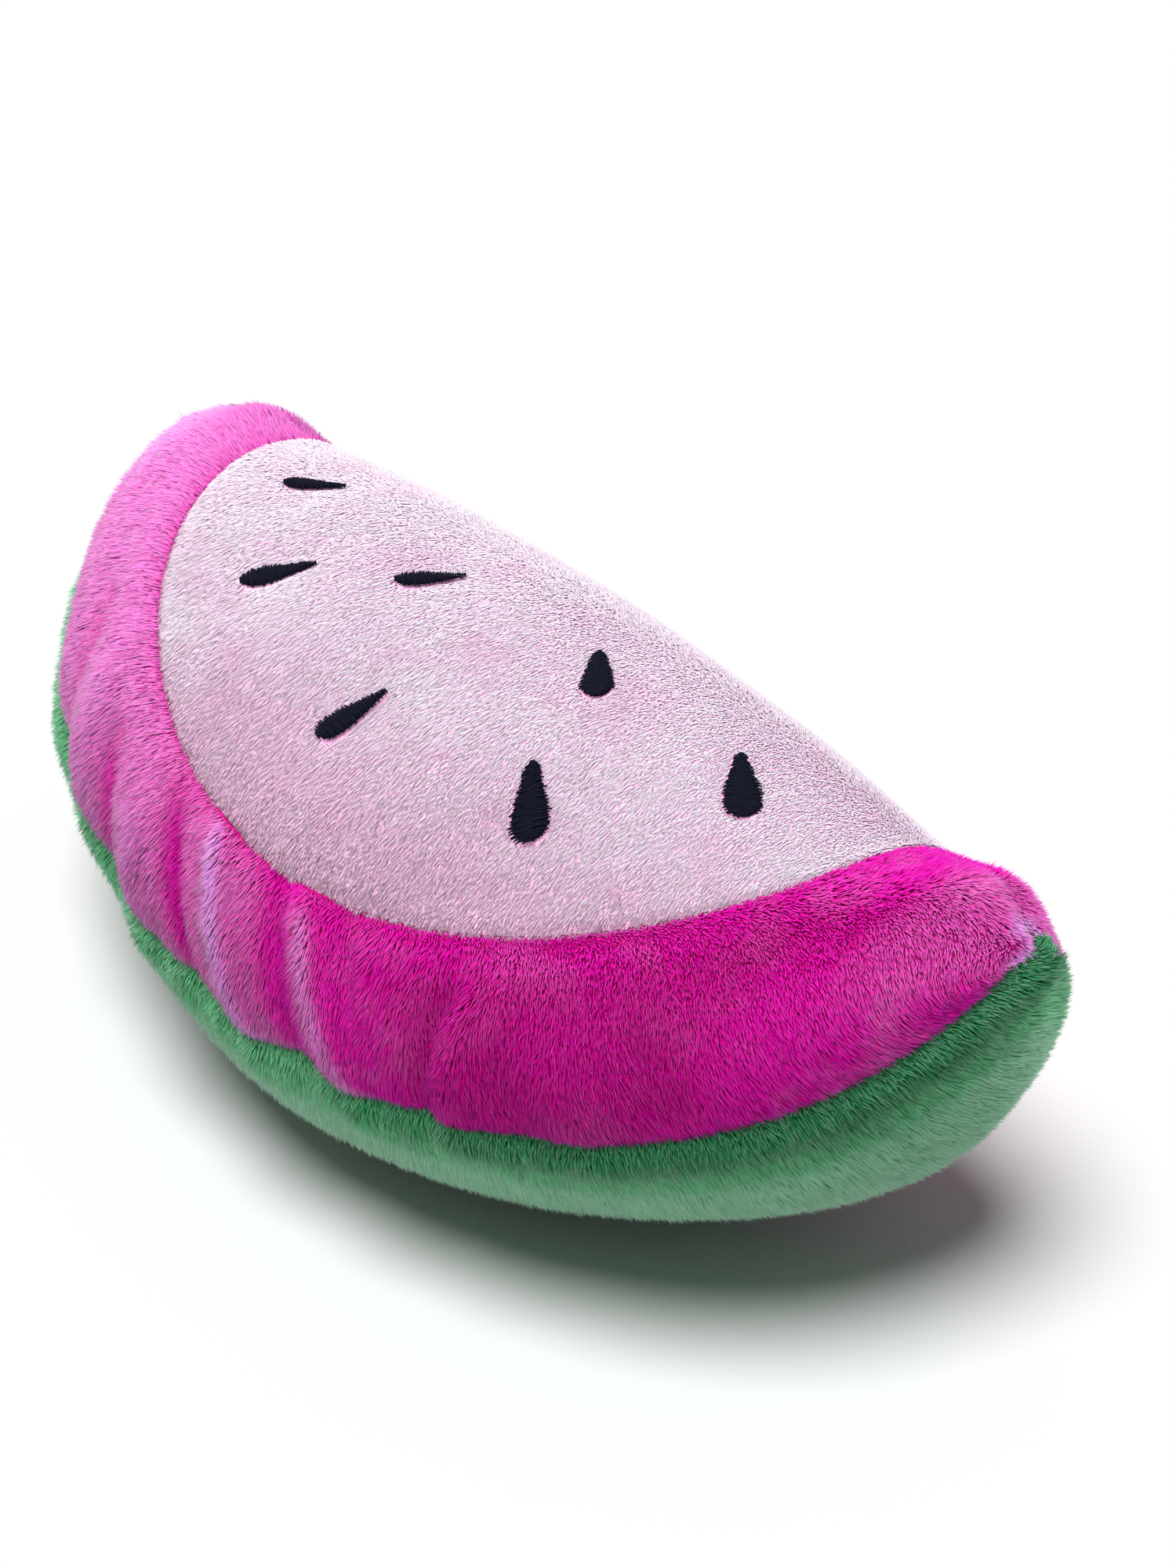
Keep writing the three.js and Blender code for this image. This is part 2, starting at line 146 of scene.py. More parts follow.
def walked(points: np.ndarray, axis: int) -> np.ndarray:
    """Length walked along one axis of a grid of points, from its first row or column."""
    steps = np.linalg.norm(np.diff(points, axis=axis), axis=-1)
    start = np.zeros_like(np.take(steps, [0], axis=axis))
    return np.cumsum(np.concatenate([start, steps], axis=axis), axis=axis)


# Shape of the slice


@dataclass(frozen=True)
class Fold:
    """A fold of the band, given by its crest and how it runs down to the rind.

    Attributes:
        place: X of the crest where it meets the rind seam line, in millimetres.
        slant: How far the crest moves along X from the ridge to the rind, in millimetres.
        width: Half width of the crest, in millimetres.
        height: Height of the crest, below zero for a valley, in millimetres.
        start: Share of the way down the face where the fold begins.
        end: Share of the way down the face where the fold ends.
        fade: Share of the way over which it grows and fades.
    """

    place: float
    slant: float
    width: float
    height: float
    start: float = 0.7
    end: float = 1.2
    fade: float = 0.14

    def at(self, x: np.ndarray, down: np.ndarray) -> np.ndarray:
        """Height of the fold at places of a face, in millimetres."""
        grown = smooth(down, self.start, self.start + self.fade)
        grown = grown * smooth(down, self.end, self.end - self.fade)
        return self.height * grown * bump(x - self.place + self.slant * (1 - down), self.width)


FRONT_FOLDS = (
    Fold(-84, 20, 4.5, -0.9, 0.45),
    Fold(-72, 10, 4.0, 0.6, 0.5),
    Fold(-63, 10, 4.4, -0.9, 0.55),
    Fold(-52, 6, 4.6, 1.0, 0.58),
    Fold(-38, 26, 4.2, -1.5, 0.66),
    Fold(-27, 16, 4.0, 1.2, 0.7),
    Fold(-9, 52, 3.6, -1.8, 0.66),
    Fold(6, 60, 3.0, 1.8, 0.6),
    Fold(17, 44, 3.2, -2.0, 0.66),
    Fold(28, 60, 3.2, 1.7, 0.62),
    Fold(34, 48, 2.6, -1.3, 0.64, 0.92),
    Fold(41, 2, 2.7, -1.6, 0.64),
    Fold(45, -8, 4.2, 0.9, 0.62),
    Fold(58, 30, 3.4, -0.7, 0.74),
    Fold(66, 36, 3.6, 0.6, 0.7),
    Fold(80, 35, 4.0, -1.2, 0.62, 1.0),
)
BACK_FOLDS = (
    Fold(-76, -34, 4.0, -1.0, 0.6),
    Fold(-62, -30, 3.6, 0.8, 0.62),
    Fold(-50, -40, 3.4, -1.6, 0.64),
    Fold(-38, -48, 2.8, 1.7, 0.62),
    Fold(-28, -42, 3.2, -1.6, 0.66),
    Fold(-12, -20, 3.4, 1.2, 0.68),
    Fold(2, 6, 3.4, -1.4, 0.66),
    Fold(17, 30, 3.0, 1.6, 0.66),
    Fold(29, 44, 3.2, -1.8, 0.64),
    Fold(42, 50, 2.8, 1.5, 0.64),
    Fold(54, 36, 3.6, -1.2, 0.66),
    Fold(70, 20, 4.0, 0.9, 0.6),
)


@dataclass(frozen=True)
class SliceForm:
    """Outer form of the slice, with the sizes of its CAD solids, in millimetres."""

    half_length: float = 100.0
    seam_depth: float = 80.7
    half_thickness: float = 40.3
    ridge_drop: float = 9.1
    tip_hump: float = 3.0
    flesh_half_length: float = 74.1
    outline_power: float = 1.852
    depth_power: float = 0.845
    thickness_power: float = 0.657
    ridge_fullness: float = 0.814
    belly: float = 0.578
    belly_height: float = 0.269
    hump_place: float = 0.87
    hump_width: float = 0.07
    flesh_seam: float = 0.702
    flesh_seam_power: float = 0.586
    band_tip: float = 0.3
    band_spread: float = 2.1
    rind_edge: float = 1.6
    rind_middle: float = 6.4
    rind_tip: float = 2.2
    rind_tip_power: float = 4.0
    rind_fullest: float = -0.12
    rind_fullness_width: float = 0.42
    fabric_gap: float = 0.3
    rise_start: float = 48.0
    rise_most: float = 0.74
    rise_power: float = 2.2

    def face(self, x: np.ndarray, down: np.ndarray, side: Side) -> np.ndarray:
        """Points on a face, from the ridge at 0 down to the rind seam at 1.

        Args:
            x: Places along the ridge.
            down: Shares of the way down the face.
            side: The face.

        Returns:
            The points, with one more axis than x.
        """
        along = np.minimum(np.abs(x) / self.half_length, 1.0)
        outline = (1 - along**self.outline_power) ** (1 / self.outline_power)
        base = -self.ridge_drop * along**2
        ridge = base + self.tip_hump * bump(along - self.hump_place, self.hump_width)
        depth = self.seam_depth * outline**self.depth_power
        thick = self.half_thickness * outline**self.thickness_power
        seam = base - depth
        up = 1 - down
        y = 3 * self.ridge_fullness * thick * down * up**2
        y = y + 3 * (1 + self.belly) * thick * down**2 * up + thick * down**3
        z = ridge * (up**3 + 3 * down * up**2)
        z = z + 3 * (seam + self.belly_height * depth) * down**2 * up + seam * down**3
        return np.stack([x, side.value * y, z], axis=-1)

    def face_normal(self, x: np.ndarray, down: np.ndarray, side: Side) -> np.ndarray:
        """Directions out of a face at places of it."""
        step_x, step_down = 0.05, 0.004
        tip = self.half_length - 2 * step_x
        held = np.clip(x, -tip, tip)
        along = self.face(held + step_x, down, side) - self.face(held - step_x, down, side)
        across = self.face(held, down + step_down, side) - self.face(held, down - step_down, side)
        normal = unit(np.cross(along, across)) * side.value
        outwards = np.stack([np.sign(x), np.zeros_like(x), np.zeros_like(x)], axis=-1)
        at_tip = (np.abs(x) > tip + step_x)[..., None]
        return np.where(at_tip, outwards, normal)

    def below(self, x: np.ndarray, down: np.ndarray, depth: np.ndarray, side: Side) -> np.ndarray:
        """Points at a depth under places of a face."""
        return self.face(x, down, side) - self.face_normal(x, down, side) * depth[..., None]

    def flesh_line(self, turn: np.ndarray) -> tuple[np.ndarray, np.ndarray]:
        """Seam between flesh and band, as X and share down the face, for turns from 0 to pi."""
        return (
            -self.flesh_half_length * np.cos(turn),
            self.flesh_seam * np.abs(np.sin(turn)) ** self.flesh_seam_power,
        )

    def band_line(
        self, turn: np.ndarray, across: np.ndarray, side: Side
    ) -> tuple[np.ndarray, np.ndarray]:
        """Place on the band, as X and share down the face, from the flesh at 0 to the rind at 1."""
        seam_x, seam_down = self.flesh_line(turn)
        crowd = 1 + self.band_tip / np.maximum(np.sin(turn), 0.001)
        spread = np.minimum(np.sqrt(crowd), self.band_spread)
        rind_x = -self.half_length * np.cos(turn)
        end = 1 - self.rind_rise(rind_x) if side is Side.BACK else np.ones_like(rind_x)
        x = lerp(seam_x, rind_x, across ** (1 / spread))
        return x, lerp(seam_down, end, across ** (crowd / spread))

    def rind_rise(self, x: np.ndarray) -> np.ndarray:
        """Share of the back face that the rind covers above the seam line, near its right tip."""
        reach = np.clip((x - self.rise_start) / (self.half_length - self.rise_start), 0, 1)
        return self.rise_most * reach**self.rise_power

    def rind(self, turn: np.ndarray, across: np.ndarray, stand_off: np.ndarray) -> np.ndarray:
        """Points on the rind, from the front seam at -1 to the back seam at 1."""
        step = 0.02
        x, radius, half_angle = self._rind_seam(turn)
        x_before, radius_before, _ = self._rind_seam(np.maximum(turn - step, 0))
        x_after, radius_after, _ = self._rind_seam(np.minimum(turn + step, math.pi))
        outward = unit(np.stack([radius_before - radius_after, x_after - x_before], axis=-1))
        far = np.maximum(radius + outward[..., 1] * stand_off, 0)
        angle = half_angle * across
        return np.stack(
            [
                x + outward[..., 0] * stand_off,
                far * np.sin(angle),
                -self.ridge_drop - far * np.cos(angle),
            ],
            axis=-1,
        )

    def rind_height(self, turn: np.ndarray, across: np.ndarray) -> np.ndarray:
        """Height of the rind's pile over the seams' line."""
        fullness = bump(-np.cos(turn) - self.rind_fullest, self.rind_fullness_width)
        crowned = lerp(self.rind_edge, self.rind_middle, fullness * (1 - across**2))
        tip = (1 - np.sin(turn)) ** self.rind_tip_power
        return self.fabric_gap + lerp(crowned, self.rind_tip, tip)

    def rind_normal(self, turn: np.ndarray, across: np.ndarray) -> np.ndarray:
        """Directions out of the rind."""
        none = np.zeros_like(turn)
        return unit(self.rind(turn, across, none + 1.0) - self.rind(turn, across, none))

    def _rind_seam(self, turn: np.ndarray) -> tuple[np.ndarray, np.ndarray, np.ndarray]:
        """Rind seam about the hinge line, as X, radius and half angle."""
        x = -self.half_length * np.cos(turn)
        edge = self.face(x, np.ones_like(x), Side.BACK)
        below = -self.ridge_drop - edge[..., 2]
        return x, np.hypot(edge[..., 1], below), np.arctan2(edge[..., 1], below)


class RestPose:
    """Leans the slice back about its ridge and settles it on the floor."""

    lean_degrees = 33.3
    settle_depth = 26.0

    def __init__(self, form: SliceForm) -> None:
        """Finds the floor and the sunk underside.

        Args:
            form: The slice.
        """
        angle = math.radians(self.lean_degrees)
        self.turn = np.array(
            [
                [1, 0, 0],
                [0, math.cos(angle), math.sin(angle)],
                [0, -math.sin(angle), math.cos(angle)],
            ]
        )
        hinge = next(j for j in frame["joints"] if j["name"] == "squeeze")
        hinge_point = np.array(hinge["pos_m"]) / MM
        leaned = self.turn @ np.array([0, 0, -form.ridge_drop])
        self.shift = np.array([0, hinge_point[1] - leaned[1], hinge_point[2] - leaned[2]])
        self.tree = self._underside(form)

    def place(self, points: np.ndarray, floor: float = 0.0) -> np.ndarray:
        """Rest places of points of the slice.

        Args:
            points: Points of the slice's own frame, in millimetres.
            floor: Least height that they keep above the floor, in millimetres.

        Returns:
            The same points in the row frame, in metres.
        """
        flat = points.reshape(-1, 3) @ self.turn.T + self.shift
        low = np.flatnonzero(flat[:, 2] < self.settle_depth)
        for i in low:
            sink = self._sink(flat[i, 0], flat[i, 1])
            above = flat[i, 2] - sink
            if above < self.settle_depth:
                flat[i, 2] = above * (1 + sink / self.settle_depth)
        flat[:, 2] = np.maximum(flat[:, 2], floor)
        return flat.reshape(points.shape) * MM

    def _sink(self, x: float, y: float) -> float:
        """Height of the unloaded underside below the floor, zero or less."""
        hit, _, _, _ = self.tree.ray_cast(Vector((x, y, -1000.0)), Vector((0, 0, 1)))
        return min(hit.z, 0.0) if hit else 0.0

    def _underside(self, form: SliceForm) -> BVHTree:
        """Ray-casting tree of the rind and the back band before they settle."""
        turn = np.linspace(0, math.pi, 129)[:, None]
        across = np.linspace(-1, 1, 33)[None, :]
        rind_turn, rind_across = np.broadcast_arrays(turn, across)
        rind = form.rind(rind_turn, rind_across, form.rind_height(rind_turn, rind_across))
        down = (across + 2) / 3
        x, down = np.broadcast_arrays(-form.half_length * np.cos(turn), down)
        band = form.face(x, down, Side.BACK)
        corners: list[np.ndarray] = []
        faces: list[list[int]] = []
        for grid in (rind, band):
            start = len(corners)
            corners.extend(grid.reshape(-1, 3) @ self.turn.T + self.shift)
            faces.extend((grid_quads(*grid.shape[:2]) + start).tolist())
        return BVHTree.FromPolygons([Vector(c) for c in corners], faces)


# Meshes


def grid_quads(columns: int, rows: int) -> np.ndarray:
    """Corner numbers of the quads of a grid of points.

    Args:
        columns: Points along the first axis.
        rows: Points along the second axis.

    Returns:
        One row of four numbers for each quad.
    """
    index = np.arange(columns * rows).reshape(columns, rows)
    quads = [index[:-1, :-1], index[1:, :-1], index[1:, 1:], index[:-1, 1:]]
    return np.stack(quads, axis=-1).reshape(-1, 4)


def shell_quads(columns: int, rows: int) -> np.ndarray:
    """Corner numbers of a closed shell between an outer grid and the inner grid that follows it."""
    outer = grid_quads(columns, rows)
    inner = grid_quads(columns, rows)[:, ::-1] + columns * rows
    index = np.arange(columns * rows).reshape(columns, rows)
    rims = []
    for edge in (index[0], index[-1, ::-1], index[::-1, 0], index[:, -1]):
        far = edge + columns * rows
        rims.append(np.stack([edge[:-1], edge[1:], far[1:], far[:-1]], axis=-1))
    return np.concatenate([outer, inner, *rims])


def new_object(name: str, points: np.ndarray, faces: np.ndarray) -> bpy.types.Object:
    """A mesh object at the origin, linked to the scene.

    Args:
        name: Its name.
        points: Corners in metres.
        faces: Corner numbers of the faces, which may be none.

    Returns:
        The object.
    """
    mesh = bpy.data.meshes.new(name)
    mesh.from_pydata(points.reshape(-1, 3).tolist(), [], faces.tolist())
    made = bpy.data.objects.new(name, mesh)
    bpy.context.scene.collection.objects.link(made)
    return made


def close_up(obj: bpy.types.Object, distance: float = DOUBLED) -> None:
    """Merges doubled corners, drops faces without area and turns the rest outwards.

    Args:
        obj: The mesh object.
        distance: Corners nearer than this become one, in metres.
    """
    mesh = bmesh.new()
    mesh.from_mesh(obj.data)
    bmesh.ops.remove_doubles(mesh, verts=mesh.verts, dist=distance)
    bmesh.ops.dissolve_degenerate(mesh, edges=mesh.edges, dist=distance)
    bmesh.ops.recalc_face_normals(mesh, faces=mesh.faces)
    mesh.to_mesh(obj.data)
    mesh.free()
    obj.data.shade_smooth()


def set_attribute(mesh: bpy.types.Mesh, name: str, values: np.ndarray) -> None:
    """Stores a number or vector for each corner.

    Args:
        mesh: The mesh.
        name: The attribute's name.
        values: One number or one row of three for each corner.
    """
    rows = values.ndim > 1 and values.shape[-1] == 3
    kind, key = ("FLOAT_VECTOR", "vector") if rows else ("FLOAT", "value")
    made = mesh.attributes.new(name, kind, "POINT")
    made.data.foreach_set(key, values.astype(np.float32).ravel())


def corners_of(mesh: bpy.types.Mesh) -> np.ndarray:
    """Corners of a mesh, one row each."""
    found = np.empty(len(mesh.vertices) * 3, np.float32)
    mesh.vertices.foreach_get("co", found)
    return found.reshape(-1, 3).astype(float)


# Geometry Nodes


class NodeTree:
    """Builds a node tree from short calls."""

    def __init__(self, tree: bpy.types.NodeTree) -> None:
        """Starts on an empty tree.

        Args:
            tree: The tree to fill.
        """
        self.tree = tree

    def add(self, kind: str, inputs: dict | None = None, **properties: object) -> bpy.types.Node:
        """Adds a node.

        Args:
            kind: The node's type.
            inputs: Input names or numbers, with a value, a socket or a node to link from.
            properties: Properties of the node.

        Returns:
            The node.
        """
        node = self.tree.nodes.new(kind)
        for key, value in properties.items():
            setattr(node, key, value)
        for key, value in (inputs or {}).items():
            self.feed(node.inputs[key], value)
        return node

    def feed(self, socket: bpy.types.NodeSocket, value: object) -> None:
        """Sets a socket, or links it from another socket or from a node's first output."""
        if isinstance(value, bpy.types.Node):
            self.tree.links.new(value.outputs[0], socket)
        elif isinstance(value, bpy.types.NodeSocket):
            self.tree.links.new(value, socket)
        else:
            socket.default_value = value

    def maths(self, operation: str, *values: object) -> bpy.types.Node:
        """A scalar sum of up to three values."""
        kind = "ShaderNodeMath"
        return self.add(kind, dict(enumerate(values)), operation=operation)

    def vector(self, operation: str, *values: object) -> bpy.types.Node:
        """A vector sum of up to two values."""
        kind = "ShaderNodeVectorMath"
        return self.add(kind, dict(enumerate(values)), operation=operation)

    def scaled(self, vector: object, scale: object) -> bpy.types.Node:
        """A vector times a number."""
        return self.add("ShaderNodeVectorMath", {0: vector, "Scale": scale}, operation="SCALE")

    def attribute(self, name: str, kind: str = "FLOAT") -> bpy.types.Node:
        """A named attribute of the geometry."""
        return self.add("GeometryNodeInputNamedAttribute", {"Name": name}, data_type=kind)

    def random(self, low: float, high: float, seed: int) -> bpy.types.NodeSocket:
        """A random number for each element."""
        node = self.add("FunctionNodeRandomValue", data_type="FLOAT")
        node.inputs[2].default_value = low
        node.inputs[3].default_value = high
        node.inputs["Seed"].default_value = seed
        return node.outputs[1]

    def random_vector(self, size: float, seed: int) -> bpy.types.NodeSocket:
        """A random vector for each element, up to a size along each axis."""
        node = self.add("FunctionNodeRandomValue", data_type="FLOAT_VECTOR")
        node.inputs[0].default_value = (-size,) * 3
        node.inputs[1].default_value = (size,) * 3
        node.inputs["Seed"].default_value = seed
        return node.outputs[0]


class GeometryTree(NodeTree):
    """A Geometry Nodes tree with named inputs."""

    def __init__(self, name: str, inputs: dict[str, str]) -> None:
        """Makes the tree and its sockets.

        Args:
            name: The tree's name.
            inputs: Input names, each with its socket type.
        """
        super().__init__(bpy.data.node_groups.new(name, "GeometryNodeTree"))
        self.keys: dict[str, str] = {}
        for label, kind in {"Geometry": "NodeSocketGeometry", **inputs}.items():
            socket = self.tree.interface.new_socket(label, in_out="INPUT", socket_type=kind)
            self.keys[label] = socket.identifier
        self.tree.interface.new_socket("Geometry", in_out="OUTPUT", socket_type="NodeSocketGeometry")
        self.given = self.add("NodeGroupInput").outputs

    def store(
        self, geometry: object, name: str, value: object, kind: str = "FLOAT"
    ) -> bpy.types.Node:
        """Stores a named attribute on the geometry's points."""
        inputs = {"Geometry": geometry, "Name": name, "Value": value}
        node = "GeometryNodeStoreNamedAttribute"
        return self.add(node, inputs, data_type=kind, domain="POINT")

    def end(self, geometry: object, material: object) -> None:
        """Realizes the instances, sets the material and ends the tree."""
        real = self.add("GeometryNodeRealizeInstances", {"Geometry": geometry})
        dressed = self.add("GeometryNodeSetMaterial", {"Geometry": real, "Material": material})
        self.add("NodeGroupOutput", {0: dressed})

    def grow(
        self, base: bpy.types.Object, name: str, values: dict[str, object], keep: tuple[str, ...] = ()
    ) -> bpy.types.Object:
        """Runs the tree on an object and keeps the result as a plain mesh.

        Args:
            base: The object that the tree reads. It is removed.
            name: Name of the new piece.
            values: Values of the tree's inputs by name.
            keep: Attributes that the material reads.

        Returns:
            The new piece.
        """
        modifier = base.modifiers.new("grow", "NODES")
        modifier.node_group = self.tree
        for label, value in values.items():
            modifier[self.keys[label]] = value
        graph = bpy.context.evaluated_depsgraph_get()
        mesh = bpy.data.meshes.new_from_object(
            base.evaluated_get(graph), preserve_all_data_layers=True, depsgraph=graph
        )
        base.modifiers.remove(modifier)
        bpy.data.objects.remove(base)
        mesh.name = name
        for spare in [a.name for a in mesh.attributes]:
            found = mesh.attributes[spare]
            own = found.is_required or found.is_internal or spare == "sharp_face"
            if not (own or spare in keep):
                mesh.attributes.remove(found)
        mesh.materials.clear()
        mesh.materials.append(values["Material"])
        made = bpy.data.objects.new(name, mesh)
        bpy.context.scene.collection.objects.link(made)
        return made


class PileTree(GeometryTree):
    """Plush pile: a tapered tuft on each of many points of the cloth.

    The cloth's own attributes say which way the nap lies and how long the pile is. Its lift, the
    painted light and shade, passes on to the tufts for their material.
    """

    clump_detail = 2.0
    clump_roughness = 0.6
    full_turn = 6.28
    shortest = 0.7
    longest = 1.15
    scatter_seed = 3
    spin_seed = 5
    length_seed = 7
    shade_seed = 11

    def __init__(self) -> None:
        """Builds the tree."""
        floats = ("Tufts", "Spacing", "Width", "Length", "Nap", "Clump size", "Clump", "Scatter")
        inputs = {label: "NodeSocketFloat" for label in floats}
        super().__init__(
            "plush pile", {**inputs, "Seed": "NodeSocketInt", "Material": "NodeSocketMaterial"}
        )
        given = self.given
        points = self.add(
            "GeometryNodeDistributePointsOnFaces",
            {
                "Mesh": given["Geometry"],
                "Distance Min": given["Spacing"],
                "Density Max": given["Tufts"],
                "Seed": given["Seed"],
            },
            distribute_method="POISSON",
        )
        place = self.add("GeometryNodeInputPosition")
        nap = self.attribute("nap", "FLOAT_VECTOR")
        swirl = self.add(
            "ShaderNodeTexNoise",
            {
                "Vector": place,
                "Scale": given["Clump size"],
                "Detail": self.clump_detail,
                "Roughness": self.clump_roughness,
            },
        )
        centred = self.vector("SUBTRACT", swirl.outputs["Color"], (0.5, 0.5, 0.5))
        lean = self.vector("ADD", points.outputs["Normal"], self.scaled(nap, given["Nap"]))
        lean = self.vector("ADD", lean, self.scaled(centred, given["Clump"]))
        loose = self.scaled(self.random_vector(1.0, self.scatter_seed), given["Scatter"])
        lean = self.vector("ADD", lean, loose)
        facing = self.add("FunctionNodeAlignRotationToVector", {"Vector": lean}, axis="Z")
        any_turn = self.random(0.0, self.full_turn, self.spin_seed)
        spin = self.add("ShaderNodeCombineXYZ", {"Z": any_turn})
        turned = self.add(
            "FunctionNodeRotateRotation", {0: facing, 1: spin}, rotation_space="LOCAL"
        )
        length = self.maths("MULTIPLY", given["Length"], self.attribute("pile"))
        uneven = self.random(self.shortest, self.longest, self.length_seed)
        length = self.maths("MULTIPLY", length, uneven)
        size = self.add(
            "ShaderNodeCombineXYZ", {"X": given["Width"], "Y": given["Width"], "Z": length}
        )
        tuft = self.add(
            "GeometryNodeMeshCone",
            {"Vertices": 3, "Side Segments": 1, "Radius Top": 0.0, "Radius Bottom": 1.0, "Depth": 1.0},
            fill_type="NGON",
        )
        height = self.add("ShaderNodeSeparateXYZ", {0: self.add("GeometryNodeInputPosition")})
        rounded = self.add("GeometryNodeSetShadeSmooth", {"Geometry": tuft})
        marked = self.store(rounded, "tip", height.outputs["Z"])
        normal = points.outputs["Normal"]
        ground = self.store(points.outputs["Points"], "ground", normal, "FLOAT_VECTOR")
        shaded = self.store(ground, "shade", self.random(0.0, 1.0, self.shade_seed))
        tufts = self.add(
            "GeometryNodeInstanceOnPoints",
            {"Points": shaded, "Instance": marked, "Rotation": turned, "Scale": size},
        )
        self.end(tufts, given["Material"])


class ThreadTree(GeometryTree):
    """Stitches: a short arched thread at each point, laid along one direction."""

    steps = 9
    arch_power = 4.0
    slimming = 0.45

    def __init__(self) -> None:
        """Builds the tree."""
        inputs = {"Thread": "NodeSocketFloat", "Sides": "NodeSocketInt"}
        super().__init__("stitches", {**inputs, "Material": "NodeSocketMaterial"})
        given = self.given
        line = self.add(
            "GeometryNodeCurvePrimitiveLine", {"Start": (-1.0, 0.0, 0.0), "End": (1.0, 0.0, 0.0)}
        )
        fine = self.add("GeometryNodeResampleCurve", {"Curve": line, "Count": self.steps})
        along = self.add("ShaderNodeSeparateXYZ", {0: self.add("GeometryNodeInputPosition")})
        far = self.maths("ABSOLUTE", along.outputs["X"])
        fallen = self.maths("POWER", far, self.arch_power)
        lift = self.add("ShaderNodeCombineXYZ", {"Z": self.maths("SUBTRACT", 1.0, fallen)})
        arched = self.add("GeometryNodeSetPosition", {"Geometry": fine, "Offset": lift})
        thinned = self.maths("MULTIPLY", fallen, self.slimming)
        marked = self.store(arched, "slim", self.maths("SUBTRACT", 1.0, thinned))
        facing = self.add(
            "FunctionNodeAxesToRotation",
            {
                "Primary Axis": self.attribute("up", "FLOAT_VECTOR"),
                "Secondary Axis": self.attribute("along", "FLOAT_VECTOR"),
            },
            primary_axis="Z",
            secondary_axis="X",
        )
        laid = self.add(
            "GeometryNodeInstanceOnPoints",
            {
                "Points": given["Geometry"],
                "Instance": marked,
                "Rotation": facing,
                "Scale": self.attribute("size", "FLOAT_VECTOR"),
            },
        )
        real = self.add("GeometryNodeRealizeInstances", {"Geometry": laid})
        ring = self.add(
            "GeometryNodeCurvePrimitiveCircle", {"Resolution": given["Sides"], "Radius": 1.0}
        )
        thread = self.add(
            "GeometryNodeCurveToMesh",
            {
                "Curve": real,
                "Profile Curve": ring.outputs["Curve"],
                "Scale": self.maths("MULTIPLY", self.attribute("slim"), given["Thread"]),
                "Fill Caps": True,
            },
        )
        self.end(self.add("GeometryNodeSetShadeSmooth", {"Geometry": thread}), given["Material"])


# Finishes


class ShaderTree(NodeTree):
    """A material's node tree, on Object coordinates."""

    def __init__(self, name: str, roughness: float, **shine: object) -> None:
        """Makes the material and its shader.

        Args:
            name: The material's name.
            roughness: Roughness of the whole surface.
            shine: Other constants of the shader, by socket name with underscores for spaces.
        """
        self.material = bpy.data.materials.new(name)
        self.material.use_nodes = True
        super().__init__(self.material.node_tree)
        self.tree.nodes.clear()
        self.shader = self.add("ShaderNodeBsdfPrincipled", {"Roughness": roughness})
        for key, value in shine.items():
            self.shader.inputs[key.replace("_", " ")].default_value = value
        self.add("ShaderNodeOutputMaterial", {"Surface": self.shader})
        self.place = self.add("ShaderNodeTexCoord").outputs["Object"]

    def noise(self, scale: float, detail: float = 2.0, roughness: float = 0.5) -> bpy.types.NodeSocket:
        """Noise on the piece's place, with features of about one over scale, in metres."""
        node = self.add(
            "ShaderNodeTexNoise",
            {"Vector": self.place, "Scale": scale, "Detail": detail, "Roughness": roughness},
        )
        return node.outputs["Fac"]

    def mix(self, share: object, first: object, second: object) -> bpy.types.NodeSocket:
        """Mixes two colours.

        Args:
            share: How much of the second.
            first: First colour, or a socket.
            second: Second colour, or a socket.

        Returns:
            The mixed colour.
        """
        node = self.add("ShaderNodeMix", data_type="RGBA", blend_type="MIX", clamp_factor=True)
        self.feed(node.inputs["Factor"], share)
        self.feed(node.inputs[6], (*first, 1.0) if isinstance(first, tuple) else first)
        self.feed(node.inputs[7], (*second, 1.0) if isinstance(second, tuple) else second)
        return node.outputs[2]

    def ranged(
        self, value: object, low: float, high: float, start: float = 0.0, end: float = 1.0
    ) -> bpy.types.Node:
        """Maps a value from one range to another, smoothly and clamped."""
        return self.add(
            "ShaderNodeMapRange",
            {"Value": value, "From Min": low, "From Max": high, "To Min": start, "To Max": end},
            interpolation_type="SMOOTHSTEP",
        )

    def read(self, name: str) -> bpy.types.NodeSocket:
        """An attribute of the mesh."""
        return self.add("ShaderNodeAttribute", attribute_name=name).outputs["Fac"]

    def bump(self, height: object, strength: float, distance: float) -> None:
        """Bumps the surface by a height."""
        node = self.add(
            "ShaderNodeBump", {"Height": height, "Strength": strength, "Distance": distance}
        )
        self.feed(self.shader.inputs["Normal"], node)

    def follow_ground(self, share: float) -> None:
        """Shades tufts like the cloth that they stand on, as dense fine fibres look.

        Args:
            share: Share of the cloth's normal in the tufts' own.
        """
        ground = self.add("ShaderNodeAttribute", attribute_name="ground").outputs["Vector"]
        turned = self.add(
            "ShaderNodeVectorTransform",
            {"Vector": ground},
            vector_type="NORMAL",
            convert_from="OBJECT",
            convert_to="WORLD",
        )
        own = self.add("ShaderNodeNewGeometry").outputs["Normal"]
        mixed = self.add("ShaderNodeMix", data_type="VECTOR")
        self.feed(mixed.inputs["Factor"], share)
        self.feed(mixed.inputs[4], own)
        self.feed(mixed.inputs[5], turned)
        self.feed(self.shader.inputs["Normal"], self.vector("NORMALIZE", mixed.outputs[1]))

    def paint(self, colour: object) -> bpy.types.Material:
        """Sets the base colour and gives the material."""
        self.feed(self.shader.inputs["Base Color"], colour)
        return self.material


